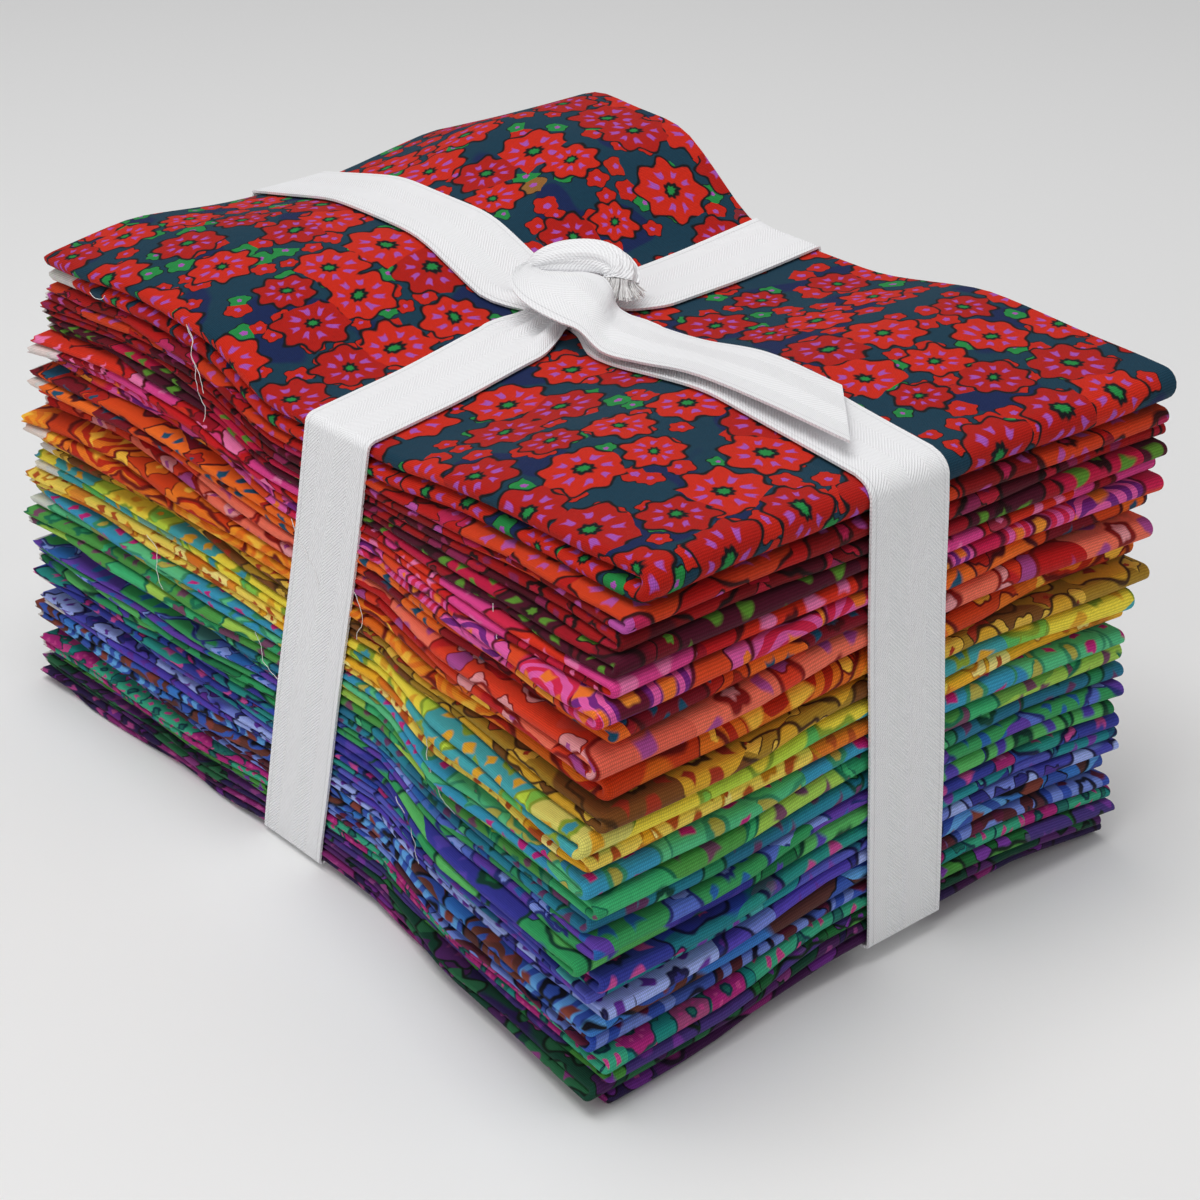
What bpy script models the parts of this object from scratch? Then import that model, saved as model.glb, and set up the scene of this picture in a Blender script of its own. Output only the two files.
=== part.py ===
"""A fat quarter bundle: a stack of folded cotton fat quarters, tied crosswise with a twill tape.

Each fat quarter is a strip of folded layers, doubled back on itself once more, so it has two thick leaves joined
by a round fold on its -Y side, a ridge along the -X side of each leaf, and cut edges on the +X and +Y sides.
+X runs along the short side of the stack and +Y along its long side. The origin is under the stack's middle.
"""

import math

import bmesh
import bpy
from mathutils import Vector

MM = 0.001

# The cloth: 18 by 22 inches, halved across its length and quartered across its width.
CUT_LENGTH = 457 * MM
CUT_WIDTH = 559 * MM
# What the outer fold takes up along the length, and what the loose folds add to the width.
LENGTH_TAKEN_UP = 3.5 * MM
WIDTH_ADDED = 3.0 * MM
STACK_LENGTH = CUT_LENGTH / 2 - LENGTH_TAKEN_UP
STACK_WIDTH = CUT_WIDTH / 4 + WIDTH_ADDED

# A fold sharper than this is drawn as an edge.
SHARP_ANGLE = math.radians(50)

# The clearance between neighbours, and between the two leaves of one fat quarter.
GAP = 0.36 * MM
LEAF_GAP = 0.3 * MM

# The tape.
TAPE_WIDTH = 22 * MM
TAPE_THICK = 1.0 * MM
TAPE_CLEAR = 0.35 * MM
TAPE_GATHERED_WIDTH = 12 * MM

# The faces of the stack where the tape holds them flush.
FACE_X = STACK_WIDTH / 2
FACE_Y = STACK_LENGTH / 2

# The tape lifts what it passes under by its own thickness and clearance.
TAPE_LIFT = TAPE_THICK + TAPE_CLEAR

# Shape lines, in millimetres: the edges, places on each quarter of the top, and both sides of the tape.
LINES_X = (-71, -45, -20, 16, 45, 71)
LINES_Y = (-112, -62, -30, 13, 42, 78, 112)

# How far the top stands above (+) or is drawn below (-) a level one, in millimetres.
# One row for each line of LINES_Y, and one column for each line of LINES_X.
TOP_RISE = (
    # left edge, left lobe, tape, tape, right lobe, right edge
    (-1.0, 0.5, 1.2, 1.2, 2.0, 3.0),
    (0.0, 3.5, 4.0, 4.0, 6.0, 6.0),
    (-5.0, -4.0, -1.0, -1.0, -0.5, 1.0),
    (-5.0, -4.0, -1.0, -1.0, -0.5, 1.0),
    (1.0, 6.0, 8.5, 8.5, 18.0, 19.0),
    (2.0, 7.0, 9.0, 9.0, 20.0, 21.0),
    (-1.0, 4.5, 2.2, 2.2, 8.0, 6.0),
)
# The same for the underside, which is flat on the surface in its four lobes and lifted by the tape.
FOOT_RISE = (
    # left edge, left lobe, tape, tape, right lobe, right edge
    (0.5, 0.0, 5.5, 5.5, 4.5, 1.0),
    (0.0, 0.0, 1.35, 1.35, 0.0, 0.0),
    (2.0, 1.35, 2.7, 2.7, 1.35, 2.5),
    (2.0, 1.35, 2.7, 2.7, 1.35, 2.5),
    (0.0, 0.0, 1.35, 1.35, 0.0, 0.0),
    (0.0, 0.0, 1.35, 1.35, 0.0, 0.0),
    (0.5, 0.0, 2.0, 2.0, 0.0, 0.5),
)
# The whole stack leans this far towards +X, from its foot to its top.
LEAN = 7 * MM
# Where the middle of the whole part's box lies in the axes of these tables.
BOX_MIDDLE_X = -4.250 * MM
BOX_MIDDLE_Y = -0.396 * MM
# Where the top is drawn down, every layer below shares it. Where it puffs up, only those above this height do.
PUFF_FLOOR = 45 * MM

# How far a corner of a fat quarter sticks out past its sides.
CORNER_FLARE = 1.2 * MM
# How far a fold's nose reaches, against half the thickness of what is folded.
NOSE = 1.15
FOLD_STEPS = 4
RIDGE_STEPS = 3
# How the spread of the near left corner grows from the tape to the corner.
SPREAD_POWER = 0.6

# The fat quarters from the bottom up: thickness, shift along X and Y, turn, and how far the near left corner
# spreads towards -X.
FAT_QUARTERS = (
    # thick mm, shift x mm, shift y mm, turn degrees, spread mm, colour
    (3.4, -0.3, 1.5, 0.4, 6.5, (0.16, 0.03, 0.17)),
    (3.4, -1.8, 0.0, -0.8, 7.0, (0.13, 0.05, 0.22)),
    (3.4, 0.2, -1.5, -0.1, 6.5, (0.10, 0.20, 0.12)),
    (3.6, -2.3, -1.0, 0.5, 7.5, (0.05, 0.28, 0.25)),
    (3.3, -0.3, 0.5, -1.0, 8.0, (0.10, 0.18, 0.42)),
    (5.0, -2.3, 1.0, -0.2, 9.0, (0.10, 0.16, 0.42)),
    (3.3, -1.3, -1.0, 0.3, 9.0, (0.12, 0.12, 0.38)),
    (3.5, 0.2, 1.0, -0.7, 10.0, (0.05, 0.25, 0.40)),
    (3.7, -1.8, -0.5, 0.1, 9.0, (0.04, 0.24, 0.34)),
    (4.5, -2.8, 0.5, -1.1, 10.5, (0.06, 0.30, 0.16)),
    (3.9, -2.8, -1.0, 0.0, 9.0, (0.08, 0.32, 0.18)),
    (4.2, -0.3, 1.0, -0.6, 10.5, (0.14, 0.26, 0.20)),
    (4.9, -3.3, 0.0, 0.2, 9.5, (0.16, 0.42, 0.26)),
    (4.6, -3.8, -0.5, -0.9, 9.0, (0.22, 0.46, 0.26)),
    (4.4, -1.8, 1.5, -0.1, 10.5, (0.48, 0.44, 0.10)),
    (4.9, -2.8, -1.0, -1.0, 11.0, (0.52, 0.50, 0.12)),
    (4.6, 0.2, -1.5, 0.0, 12.5, (0.30, 0.20, 0.05)),
    (6.2, -2.3, 2.0, 0.6, 9.0, (0.50, 0.12, 0.05)),
    (5.7, -0.8, -2.0, -1.2, 11.5, (0.56, 0.12, 0.08)),
    (5.1, -1.3, 1.0, 0.1, 9.5, (0.55, 0.14, 0.03)),
    (4.0, 1.0, -1.5, -1.2, 13.5, (0.50, 0.10, 0.05)),
    (3.9, -1.0, 0.5, -0.6, 9.0, (0.50, 0.07, 0.14)),
    (4.0, 1.0, -1.5, -1.6, 8.0, (0.36, 0.03, 0.07)),
    (3.5, 1.0, 0.5, -1.2, 6.0, (0.30, 0.03, 0.04)),
    (4.0, 0.5, -1.0, -1.8, 4.0, (0.42, 0.05, 0.04)),
    (8.4, 1.0, -1.5, -1.6, 1.0, (0.30, 0.06, 0.06)),
)
CLOTH_ROUGHNESS = 0.85
TAPE_COLOUR = (0.80, 0.80, 0.80)
TAPE_ROUGHNESS = 0.75

# How the wraps are gathered towards the knot: the distance from it, the share of the full gathering, and whether
# the upper wrap has risen over the lower one there.
GATHER_NEAR = ((0 * MM, 1.0, 1), (7 * MM, 1.0, 1), (13 * MM, 0.5, 0))
GATHER_FAR = ((12 * MM, 0.5, 0), (7 * MM, 1.0, 1))
# A wrap turns a sharp edge in this many steps.
TURN_STEPS = 2
# How far each loop of tape lies to the side, in millimetres: at the near top edge, the near foot, the far foot,
# the far top edge and the knot. The near faces are the -Y face for the long loop and the -X face for the short one.
LONG_CENTRES = (-8, 5, 4, 2, 0)
SHORT_CENTRES = (-12, 5, 4, 2, -2)
# The knot, about its own middle. Its first axis runs to the right along the knot, the second forwards and the
# third up, from the height of the crossed wraps.
KNOT_X = 0.5 * MM
KNOT_Y = -2.0 * MM
KNOT_SEAT = 0.1 * MM
KNOT_RIGHT = (0.772, -0.635)
KNOT_FORWARD = (-0.635, -0.772)
# The rolled tape at the back of the knot: where it starts and stops, how far back it is, and its size.
ROLL_SPAN = (-9.0 * MM, 11.5 * MM)
ROLL_BACK = -5.2 * MM
ROLL_WIDTH = 7.0 * MM
ROLL_HEIGHT = 8.5 * MM
ROLL_FULLNESS = 2.6
ROLL_FLAT = 0.8
ROLL_STATIONS = 8
ROLL_SIDES = 12
# The loop at the front of the knot, which goes on into the long free end. A tilt of 90 stands the tape on edge.
LOOP_ROWS = (
    # right mm, forward mm, up mm, width mm, tilt degrees
    (-3.0, -0.2, 4.9, 8.0, 82),
    (-8.5, -0.1, 4.9, 8.6, 86),
    (-12.2, 0.9, 5.0, 9.2, 90),
    (-12.9, 2.9, 5.0, 9.6, 90),
    (-10.8, 4.6, 5.1, 9.8, 88),
    (-5.0, 5.9, 5.1, 9.9, 82),
    (0.5, 7.3, 4.9, 9.9, 68),
    (5.0, 10.0, 3.9, 10.2, 42),
    (9.0, 13.8, 2.6, 11.0, 16),
)
# The short free end, down the front of the roll.
SHORT_END_ROWS = (
    # right mm, forward mm, up mm, width mm, tilt degrees
    (8.8, -1.2, 7.4, 6.0, 4),
    (9.1, -0.3, 5.6, 6.3, 4),
    (9.5, 0.4, 3.0, 6.6, 6),
    (10.0, 1.2, 0.5, 7.0, 8),
)
# The long free end over the wrap below it: its left and right edges where it starts and at its slanting cut, and
# how far it is above that wrap.
LONG_END_START = ((-7.5 * MM, -24.0 * MM), (6.0 * MM, -26.0 * MM))
LONG_END_CUT = ((-15.5 * MM, -103.0 * MM), (6.0 * MM, -80.0 * MM))
LONG_END_LIFT = (1.6 * MM, 0.8 * MM)
LONG_END_STEPS = 7
LONG_END_SPREAD = 2.5


def clear_scene():
    for thing in list(bpy.data.objects):
        bpy.data.objects.remove(thing, do_unlink=True)


def cloth_material(name, colour, roughness):
    material = bpy.data.materials.new(name)
    material.use_nodes = True
    shader = material.node_tree.nodes["Principled BSDF"]
    shader.inputs["Base Color"].default_value = (*colour, 1.0)
    shader.inputs["Roughness"].default_value = roughness
    shader.inputs["Metallic"].default_value = 0.0
    material.diffuse_color = (*colour, 1.0)
    return material


def placed(x, y, z):
    """Where a point lies once the stack leans and its box is centred over the origin."""
    return x + LEAN * (z / STACK_HEIGHT - 0.5) - BOX_MIDDLE_X, y - BOX_MIDDLE_Y, z


def add_solid(name, points, faces, material):
    """A closed mesh object, with its faces turned outwards."""
    mesh = bpy.data.meshes.new(name)
    mesh.from_pydata([placed(*point) for point in points], [], faces)
    work = bmesh.new()
    work.from_mesh(mesh)
    bmesh.ops.recalc_face_normals(work, faces=work.faces)
    work.to_mesh(mesh)
    work.free()
    mesh.materials.append(material)
    mesh.shade_smooth()
    mesh.set_sharp_from_angle(angle=SHARP_ANGLE)
    solid = bpy.data.objects.new(name, mesh)
    bpy.context.scene.collection.objects.link(solid)
    return solid


def blend(start, end, share):
    return start + (end - start) * share


def cell_and_share(lines, value):
    """Which pair of shape lines a place lies between, and how far along. Past the edges it goes on in a line."""
    inner = [line * MM for line in lines[1:-1]]
    cell = sum(value > line for line in inner)
    low, high = lines[cell] * MM, lines[cell + 1] * MM
    return cell, (value - low) / (high - low)


def level(height, x, y):
    """Where a layer that would lie level at this height really lies, at (x, y)."""
    column, across = cell_and_share(LINES_X, x)
    row, along = cell_and_share(LINES_Y, y)
    share = height / STACK_HEIGHT
    puff = max(0.0, (height - PUFF_FLOOR) / (STACK_HEIGHT - PUFF_FLOOR))

    def rise(row, column):
        top, foot = TOP_RISE[row][column] * MM, FOOT_RISE[row][column] * MM
        return top * (share if top < 0 else puff) + foot * (1 - share)

    near = blend(rise(row, column), rise(row, column + 1), across)
    far = blend(rise(row + 1, column), rise(row + 1, column + 1), across)
    return height + blend(near, far, along)


def ramp(lines, value):
    """1 over the tape's own strip, falling to 0 at the lobes on either side."""
    low_lobe, low_tape, high_tape, high_lobe = (line * MM for line in lines[1:5])
    if value < low_tape:
        return max(0.0, (value - low_lobe) / (low_tape - low_lobe))
    if value > high_tape:
        return max(0.0, (high_lobe - value) / (high_lobe - high_tape))
    return 1.0


def drift(shift, slope, lines, along):
    """How far a turned and shifted side has moved, at a place along it. The tape holds every side in line."""
    return (1 - ramp(lines, along)) * (shift + slope * along)


def flare(lines, along):
    """How far a side stands out towards its corners."""
    reach = abs(along) / (abs(lines[0]) * MM)
    return CORNER_FLARE * (1 - ramp(lines, along)) * max(0.0, 2 * reach - 1)


STACK_HEIGHT = sum(row[0] for row in FAT_QUARTERS) * MM


def fat_quarter(name, bottom, top, shift_x, shift_y, turn, spread, colour):
    """Two leaves joined by a fold. A ring of points runs round one leaf, and is carried along both leaves."""
    inner_radius = LEAF_GAP / 2
    slope = math.tan(turn)

    def faces_at(x, y):
        low = level(bottom, x, y)
        high = level(top, x, y) - GAP
        return (low + high) / 2, (high - low) / 2

    def half_leaf(x, y):
        return (faces_at(x, y)[1] - inner_radius) / 2

    def left_side(y):
        side = -FACE_X + drift(shift_x, -slope, LINES_Y, y) - flare(LINES_Y, y)
        from_tape = max(0.0, (LINES_Y[2] * MM - y) / (LINES_Y[2] * MM + FACE_Y))
        return side - spread * from_tape**SPREAD_POWER + half_leaf(-FACE_X, y)

    def right_side(y):
        return FACE_X + drift(shift_x, -slope, LINES_Y, y) + flare(LINES_Y, y)

    def front_side(x):
        side = -FACE_Y + drift(shift_y, slope, LINES_X, x) - flare(LINES_X, x)
        return side + NOSE * faces_at(x, -FACE_Y)[1]

    def back_side(x):
        return FACE_Y + drift(shift_y, slope, LINES_X, x) + flare(LINES_X, x)

    inner_x = [line * MM for line in LINES_X[1:-1]]
    inner_y = [line * MM for line in LINES_Y[1:-1]]

    def ring(y_of, pose):
        """The points round a leaf: outer face, ridge, inner face. pose turns a radius into a place."""
        middle_y = y_of(0.0)
        xs = [right_side(middle_y), *reversed(inner_x), left_side(middle_y)]
        around = [(x, 0.0) for x in xs]
        for step in range(1, RIDGE_STEPS):
            turned = math.pi * step / RIDGE_STEPS
            nose = half_leaf(xs[-1], middle_y) * math.sin(turned)
            around.append((xs[-1] - nose, (1 - math.cos(turned)) / 2))
        around += [(x, 1.0) for x in reversed(xs)]
        points = []
        for x, inwards in around:
            y = y_of(x)
            middle, outer_radius = faces_at(x, y)
            points.append((x, *pose(y, middle, blend(outer_radius, inner_radius, inwards))))
        return points

    def on_leaf(side):
        return lambda y, middle, radius: (y, middle + side * radius)

    def on_fold(turned):
        return lambda y, middle, radius: (
            y - NOSE * radius * math.cos(turned),
            middle + radius * math.sin(turned),
        )

    stations = [(back_side, on_leaf(-1))]
    stations += [(lambda x, y=y: y, on_leaf(-1)) for y in reversed(inner_y)]
    for step in range(FOLD_STEPS + 1):
        stations.append((front_side, on_fold(math.pi * (step / FOLD_STEPS - 0.5))))
    stations += [(lambda x, y=y: y, on_leaf(1)) for y in inner_y]
    stations.append((back_side, on_leaf(1)))

    rings = [ring(y_of, pose) for y_of, pose in stations]
    count = len(rings[0])
    points = [point for one in rings for point in one]
    faces = []
    for station in range(len(rings) - 1):
        for place in range(count):
            a = station * count + place
            b = station * count + (place + 1) % count
            faces += split_evenly(points, a, b, b + count, a + count)
    outer = len(inner_x) + 2
    for first in (0, (len(rings) - 1) * count):
        for place in range(outer - 1):
            across = count - 1 - place
            faces.append([first + place, first + place + 1, first + across - 1, first + across])
        faces.append([first + place for place in range(outer - 1, outer + RIDGE_STEPS)])
    material = cloth_material(name, colour, CLOTH_ROUGHNESS)
    return add_solid(name, points, faces, material)


def split_evenly(points, a, b, c, d):
    """Two triangles, cut along the diagonal on which x and y grow together, so that neighbours fit."""
    dx, dy = points[c][0] - points[a][0], points[c][1] - points[a][1]
    if dx * dy > 0:
        return [(a, b, c), (a, c, d)]
    return [(a, b, d), (b, c, d)]


def strip(name, path, material, joined=False):
    """A band of tape. Each row of path is its left and right edge below, then its right and left edge above."""
    points = [corner for row in path for corner in row]
    count = len(path)
    faces = []
    for step in range(count if joined else count - 1):
        low, high = 4 * step, 4 * ((step + 1) % count)
        for edge in range(4):
            after = (edge + 1) % 4
            faces.append((low + edge, low + after, high + after, high + edge))
    if not joined:
        faces.append((0, 1, 2, 3))
        faces.append(tuple(4 * count - 4 + edge for edge in range(4)))
    return add_solid(name, points, faces, material)


def top_at(x, y):
    """The stack's upper face."""
    return level(STACK_HEIGHT, x, y) - GAP


def wrap(name, along_y, centres, knot, near_nose, step_over, material):
    """One closed loop of tape round the stack, in the plane along +Y or along +X.

    centres gives how far the tape lies to the side, in millimetres, at the top and foot of its near face, the foot
    and top of its far face, and the knot. near_nose is the reach and half height of what it bends over first.
    step_over is how much it rises where it crosses the other loop.
    """
    face = FACE_Y if along_y else FACE_X
    lines = [line * MM for line in (LINES_Y if along_y else LINES_X)]
    near_top, near_foot, far_foot, far_top, middle = (centre * MM for centre in centres)

    def surface(run, side):
        return (top_at(side, run) if along_y else top_at(run, side)) + TAPE_CLEAR

    def under(run, side):
        return (level(0, side, run) if along_y else level(0, run, side)) - TAPE_CLEAR

    rows = []

    def row(run, height, turned, side, width=TAPE_WIDTH):
        rows.append((run, height, turned, side, width))

    def top_row(run, side, gather, rise):
        width = blend(TAPE_WIDTH, TAPE_GATHERED_WIDTH, gather)
        row(run, surface(run, side) + rise * step_over, 0.0, side, width)

    # Over the top, from the knot to the near edge.
    for away, gather, rise in GATHER_NEAR:
        top_row(knot - away, blend(middle, near_top, away / (knot + face)), gather, rise)
    for run in (lines[2], lines[1]):
        top_row(run, blend(middle, near_top, (knot - run) / (knot + face)), 0, 0)
    # Round the near edge.
    quarter = math.pi / 2
    reach, half = near_nose
    crown = (-face + reach, surface(-face + reach, near_top) - TAPE_CLEAR - half)
    for step in range(FOLD_STEPS + 1):
        turned = quarter * step / FOLD_STEPS
        run = crown[0] - (reach + TAPE_CLEAR) * math.sin(turned)
        row(run, crown[1] + (half + TAPE_CLEAR) * math.cos(turned), turned, near_top)
    # Down the near face, under the stack, and up the far face.
    for step in range(TURN_STEPS + 1):
        turned = quarter * (1 + step / TURN_STEPS)
        run = -face - TAPE_CLEAR * math.sin(turned)
        height = under(-face, near_foot) + TAPE_CLEAR + TAPE_CLEAR * math.cos(turned)
        row(run, height, turned, near_foot)
    for run in lines[1:-1]:
        side = blend(near_foot, far_foot, (run + face) / (2 * face))
        crossing = TAPE_LIFT - step_over if run in lines[2:4] else 0.0
        row(run, under(run, side) - crossing, math.pi, side)
    for step in range(TURN_STEPS + 1):
        turned = quarter * (2 + step / TURN_STEPS)
        run = face - TAPE_CLEAR * math.sin(turned)
        height = under(face, far_foot) + TAPE_CLEAR + TAPE_CLEAR * math.cos(turned)
        row(run, height, turned, far_foot)
    edge = surface(face, far_top) - TAPE_CLEAR
    for step in range(TURN_STEPS + 1):
        turned = quarter * (3 + step / TURN_STEPS)
        run = face - TAPE_CLEAR * math.sin(turned)
        row(run, edge + TAPE_CLEAR * math.cos(turned), turned, far_top)
    # Back over the top to the knot.
    for run in reversed(lines[3:-1]):
        top_row(run, blend(middle, far_top, (run - knot) / (face - knot)), 0, 0)
    for away, gather, rise in GATHER_FAR:
        top_row(knot + away, blend(middle, far_top, away / (face - knot)), gather, rise)

    path = []
    for run, height, turned, side, width in rows:
        outer_run = run - TAPE_THICK * math.sin(turned)
        outer_height = height + TAPE_THICK * math.cos(turned)
        left, right = side - width / 2, side + width / 2
        corners = [(left, run, height), (right, run, height)]
        corners += [(right, outer_run, outer_height), (left, outer_run, outer_height)]
        path.append([(a, r, h) if along_y else (r, a, h) for a, r, h in corners])
    return strip(name, path, material, joined=True)


def knot_place(right, forward, up):
    """A place in the knot, from its own axes."""
    x = KNOT_X + right * KNOT_RIGHT[0] + forward * KNOT_FORWARD[0]
    y = KNOT_Y + right * KNOT_RIGHT[1] + forward * KNOT_FORWARD[1]
    return x, y, top_at(KNOT_X, KNOT_Y) + TAPE_CLEAR + 2 * TAPE_LIFT + KNOT_SEAT + up


def roll(name, material):
    """The back of the knot: a plump roll of tape, flat below."""
    middle = (ROLL_SPAN[0] + ROLL_SPAN[1]) / 2
    half_length = (ROLL_SPAN[1] - ROLL_SPAN[0]) / 2
    points = []
    for station in range(ROLL_STATIONS):
        share = math.cos(math.pi * (station + 0.5) / ROLL_STATIONS)
        swell = (1 - abs(share) ** ROLL_FULLNESS) ** (1 / ROLL_FULLNESS)
        for corner in range(ROLL_SIDES):
            turned = 2 * math.pi * corner / ROLL_SIDES
            forward = ROLL_BACK + math.cos(turned) * swell * ROLL_WIDTH / 2
            rise = max(0.0, (math.sin(turned) * swell + ROLL_FLAT) / (1 + ROLL_FLAT))
            points.append(knot_place(middle + share * half_length, forward, rise * ROLL_HEIGHT))
    last = (ROLL_STATIONS - 1) * ROLL_SIDES
    faces = [tuple(range(ROLL_SIDES)), tuple(last + corner for corner in range(ROLL_SIDES))]
    for station in range(ROLL_STATIONS - 1):
        for corner in range(ROLL_SIDES):
            a = station * ROLL_SIDES + corner
            b = station * ROLL_SIDES + (corner + 1) % ROLL_SIDES
            faces.append((a, b, b + ROLL_SIDES, a + ROLL_SIDES))
    return add_solid(name, points, faces, material)


def tilted_edges(rows):
    """The low and high edges of a tape that runs through the knot, from rows of its middle, width and tilt."""
    edges = []
    for place, (right, forward, up, width, tilt) in enumerate(rows):
        before, after = rows[max(0, place - 1)], rows[min(len(rows) - 1, place + 1)]
        heading = (after[0] - before[0], after[1] - before[1])
        size = math.hypot(*heading)
        flat = math.cos(math.radians(tilt)) * width * MM / 2
        rise = math.sin(math.radians(tilt)) * width * MM / 2
        across = (heading[1] / size * flat, -heading[0] / size * flat)
        low = knot_place(right * MM - across[0], forward * MM - across[1], up * MM - rise)
        high = knot_place(right * MM + across[0], forward * MM + across[1], up * MM + rise)
        edges.append((low, high))
    return edges


def long_end_edges():
    """The left and right edges of the long free end, widening to its slanting cut."""
    edges = []
    for step in range(LONG_END_STEPS + 1):
        share = step / LONG_END_STEPS
        widened = min(1.0, share * LONG_END_SPREAD)
        left, right = (
            [blend(start, end, share) for start, end in zip(first, last)]
            for first, last in zip(LONG_END_START, LONG_END_CUT)
        )
        narrowed = (1 - widened) * share / 2
        left, right = (
            [blend(a, b, narrowed) for a, b in zip(left, right)],
            [blend(b, a, narrowed) for a, b in zip(left, right)],
        )
        lift = TAPE_CLEAR + TAPE_LIFT + blend(*LONG_END_LIFT, share) + TAPE_THICK / 2
        edges.append(((*left, top_at(*left) + lift), (*right, top_at(*right) + lift)))
    return edges


def ribbon(name, edges, material):
    """A length of tape with a cut at each end, from the middle of its two edges."""
    path = []
    for place, (left, right) in enumerate(edges):
        before, after = edges[max(0, place - 1)], edges[min(len(edges) - 1, place + 1)]
        along = (Vector(after[0]) + Vector(after[1])) - (Vector(before[0]) + Vector(before[1]))
        across = Vector(right) - Vector(left)
        out = along.cross(across).normalized() * TAPE_THICK / 2
        left, right = Vector(left), Vector(right)
        path.append([tuple(corner) for corner in (left - out, right - out, right + out, left + out)])
    return strip(name, path, material)


clear_scene()
bottom = 0.0
for number, (thick, shift_x, shift_y, turn, spread, colour) in enumerate(FAT_QUARTERS, start=1):
    top = bottom + thick * MM
    name = f"fat_quarter_{number:02d}"
    fat_quarter(name, bottom, top, shift_x * MM, shift_y * MM, math.radians(turn), spread * MM, colour)
    bottom = top

tape = cloth_material("twill_tape", TAPE_COLOUR, TAPE_ROUGHNESS)
top_half = (FAT_QUARTERS[-1][0] * MM - GAP) / 2
wrap("tape_wrap_long", True, LONG_CENTRES, KNOT_Y, (NOSE * top_half, top_half), 0.0, tape)
wrap("tape_wrap_short", False, SHORT_CENTRES, KNOT_X, (TAPE_CLEAR, TAPE_CLEAR), TAPE_LIFT, tape)
roll("tape_knot", tape)
ribbon("tape_end_long", tilted_edges(LOOP_ROWS) + long_end_edges(), tape)
ribbon("tape_end_short", tilted_edges(SHORT_END_ROWS), tape)
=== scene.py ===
"""The looks of a fat quarter bundle: folded cotton sheets, a tied twill tape and loose threads.

They are built round the CAD frame. Every fat quarter is one whole sheet, folded twice across its width and
once across its length. Lengths are in metres. Those in the tables, the middles of the wraps and the places
that knot_place takes are in millimetres.
"""

import math

import bpy
import numpy as np
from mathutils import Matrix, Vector


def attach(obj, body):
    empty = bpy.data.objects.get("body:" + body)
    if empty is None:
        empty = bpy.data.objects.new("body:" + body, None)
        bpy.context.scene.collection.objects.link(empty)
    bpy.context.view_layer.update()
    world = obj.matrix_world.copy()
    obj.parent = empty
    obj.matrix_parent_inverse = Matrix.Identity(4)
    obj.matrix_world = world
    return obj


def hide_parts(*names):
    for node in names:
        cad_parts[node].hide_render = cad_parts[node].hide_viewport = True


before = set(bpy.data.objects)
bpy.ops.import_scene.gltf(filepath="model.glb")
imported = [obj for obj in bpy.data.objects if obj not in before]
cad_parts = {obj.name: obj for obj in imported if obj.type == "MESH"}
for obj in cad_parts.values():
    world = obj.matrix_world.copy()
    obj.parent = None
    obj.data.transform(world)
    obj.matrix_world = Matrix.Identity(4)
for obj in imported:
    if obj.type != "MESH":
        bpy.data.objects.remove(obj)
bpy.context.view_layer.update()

MM = 0.001

# The cloth and how it is folded.
CUT_LENGTH = 457 * MM
CUT_WIDTH = 559 * MM
STACK_LENGTH = CUT_LENGTH / 2 - 3.5 * MM
STACK_WIDTH = CUT_WIDTH / 4 + 3.0 * MM
FACE_X = STACK_WIDTH / 2
FACE_Y = STACK_LENGTH / 2
CLOTH_THICK = 0.26 * MM
GAP = 0.36 * MM
FOLD_RADIUS = 0.15 * MM
NOSE = 1.15
CORNER_FLARE = 1.2 * MM
SPREAD_POWER = 0.6
# Where the four layers of a leaf lie in it, from its outer face, and the half height of its outermost turn.
LAYER_DEPTHS = (0.125, 0.375, 0.625, 0.875)
OUTER_HALF = (LAYER_DEPTHS[3] - LAYER_DEPTHS[0]) / 2
# How far the inner turned edges and the inner cut edge stay back, as shares of the folded width.
TURN_BACK = 0.012
CUT_BACK = 0.006
# How far the edges wander, how much of that the tape takes away, and how far the layers' cut edges stagger.
RIDGE_WANDER = 1.2 * MM
EDGE_WANDER = 0.6 * MM
TAPE_STEADIES = 0.7
STAGGER = 0.8 * MM

# The tape.
TAPE_WIDTH = 22 * MM
TAPE_THICK = 0.6 * MM
TAPE_CLEAR = 0.55 * MM
TAPE_LIFT = 1.35 * MM
TAPE_THREAD = 0.0005
TAPE_GROOVE = 0.0013
# Rows of points in a wrap: over the top to each side of the knot, up or down a side, and underneath.
TOP_ROWS = 34
SIDE_ROWS = 22
FOOT_ROWS = 40
QUARTER_TURN = [math.pi / 2 * step / 3 for step in range(4)]
# How far from the knot a wrap is gathered, or lies over the other, and the length over which that ends.
GATHERED = (6 * MM, 16 * MM)
LIFTED = (7 * MM, 5 * MM)
# The middle of each wrap: near top, near foot, far foot, far top, and at the knot.
LONG_CENTRES = (-8, 5, 4, 2, 0)
SHORT_CENTRES = (-12, 5, 4, 2, -2)
KNOT_X = 0.5 * MM
KNOT_Y = -2.0 * MM
KNOT_RIGHT = np.array((0.772, -0.635, 0.0))
KNOT_FORWARD = np.array((-0.635, -0.772, 0.0))

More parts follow.
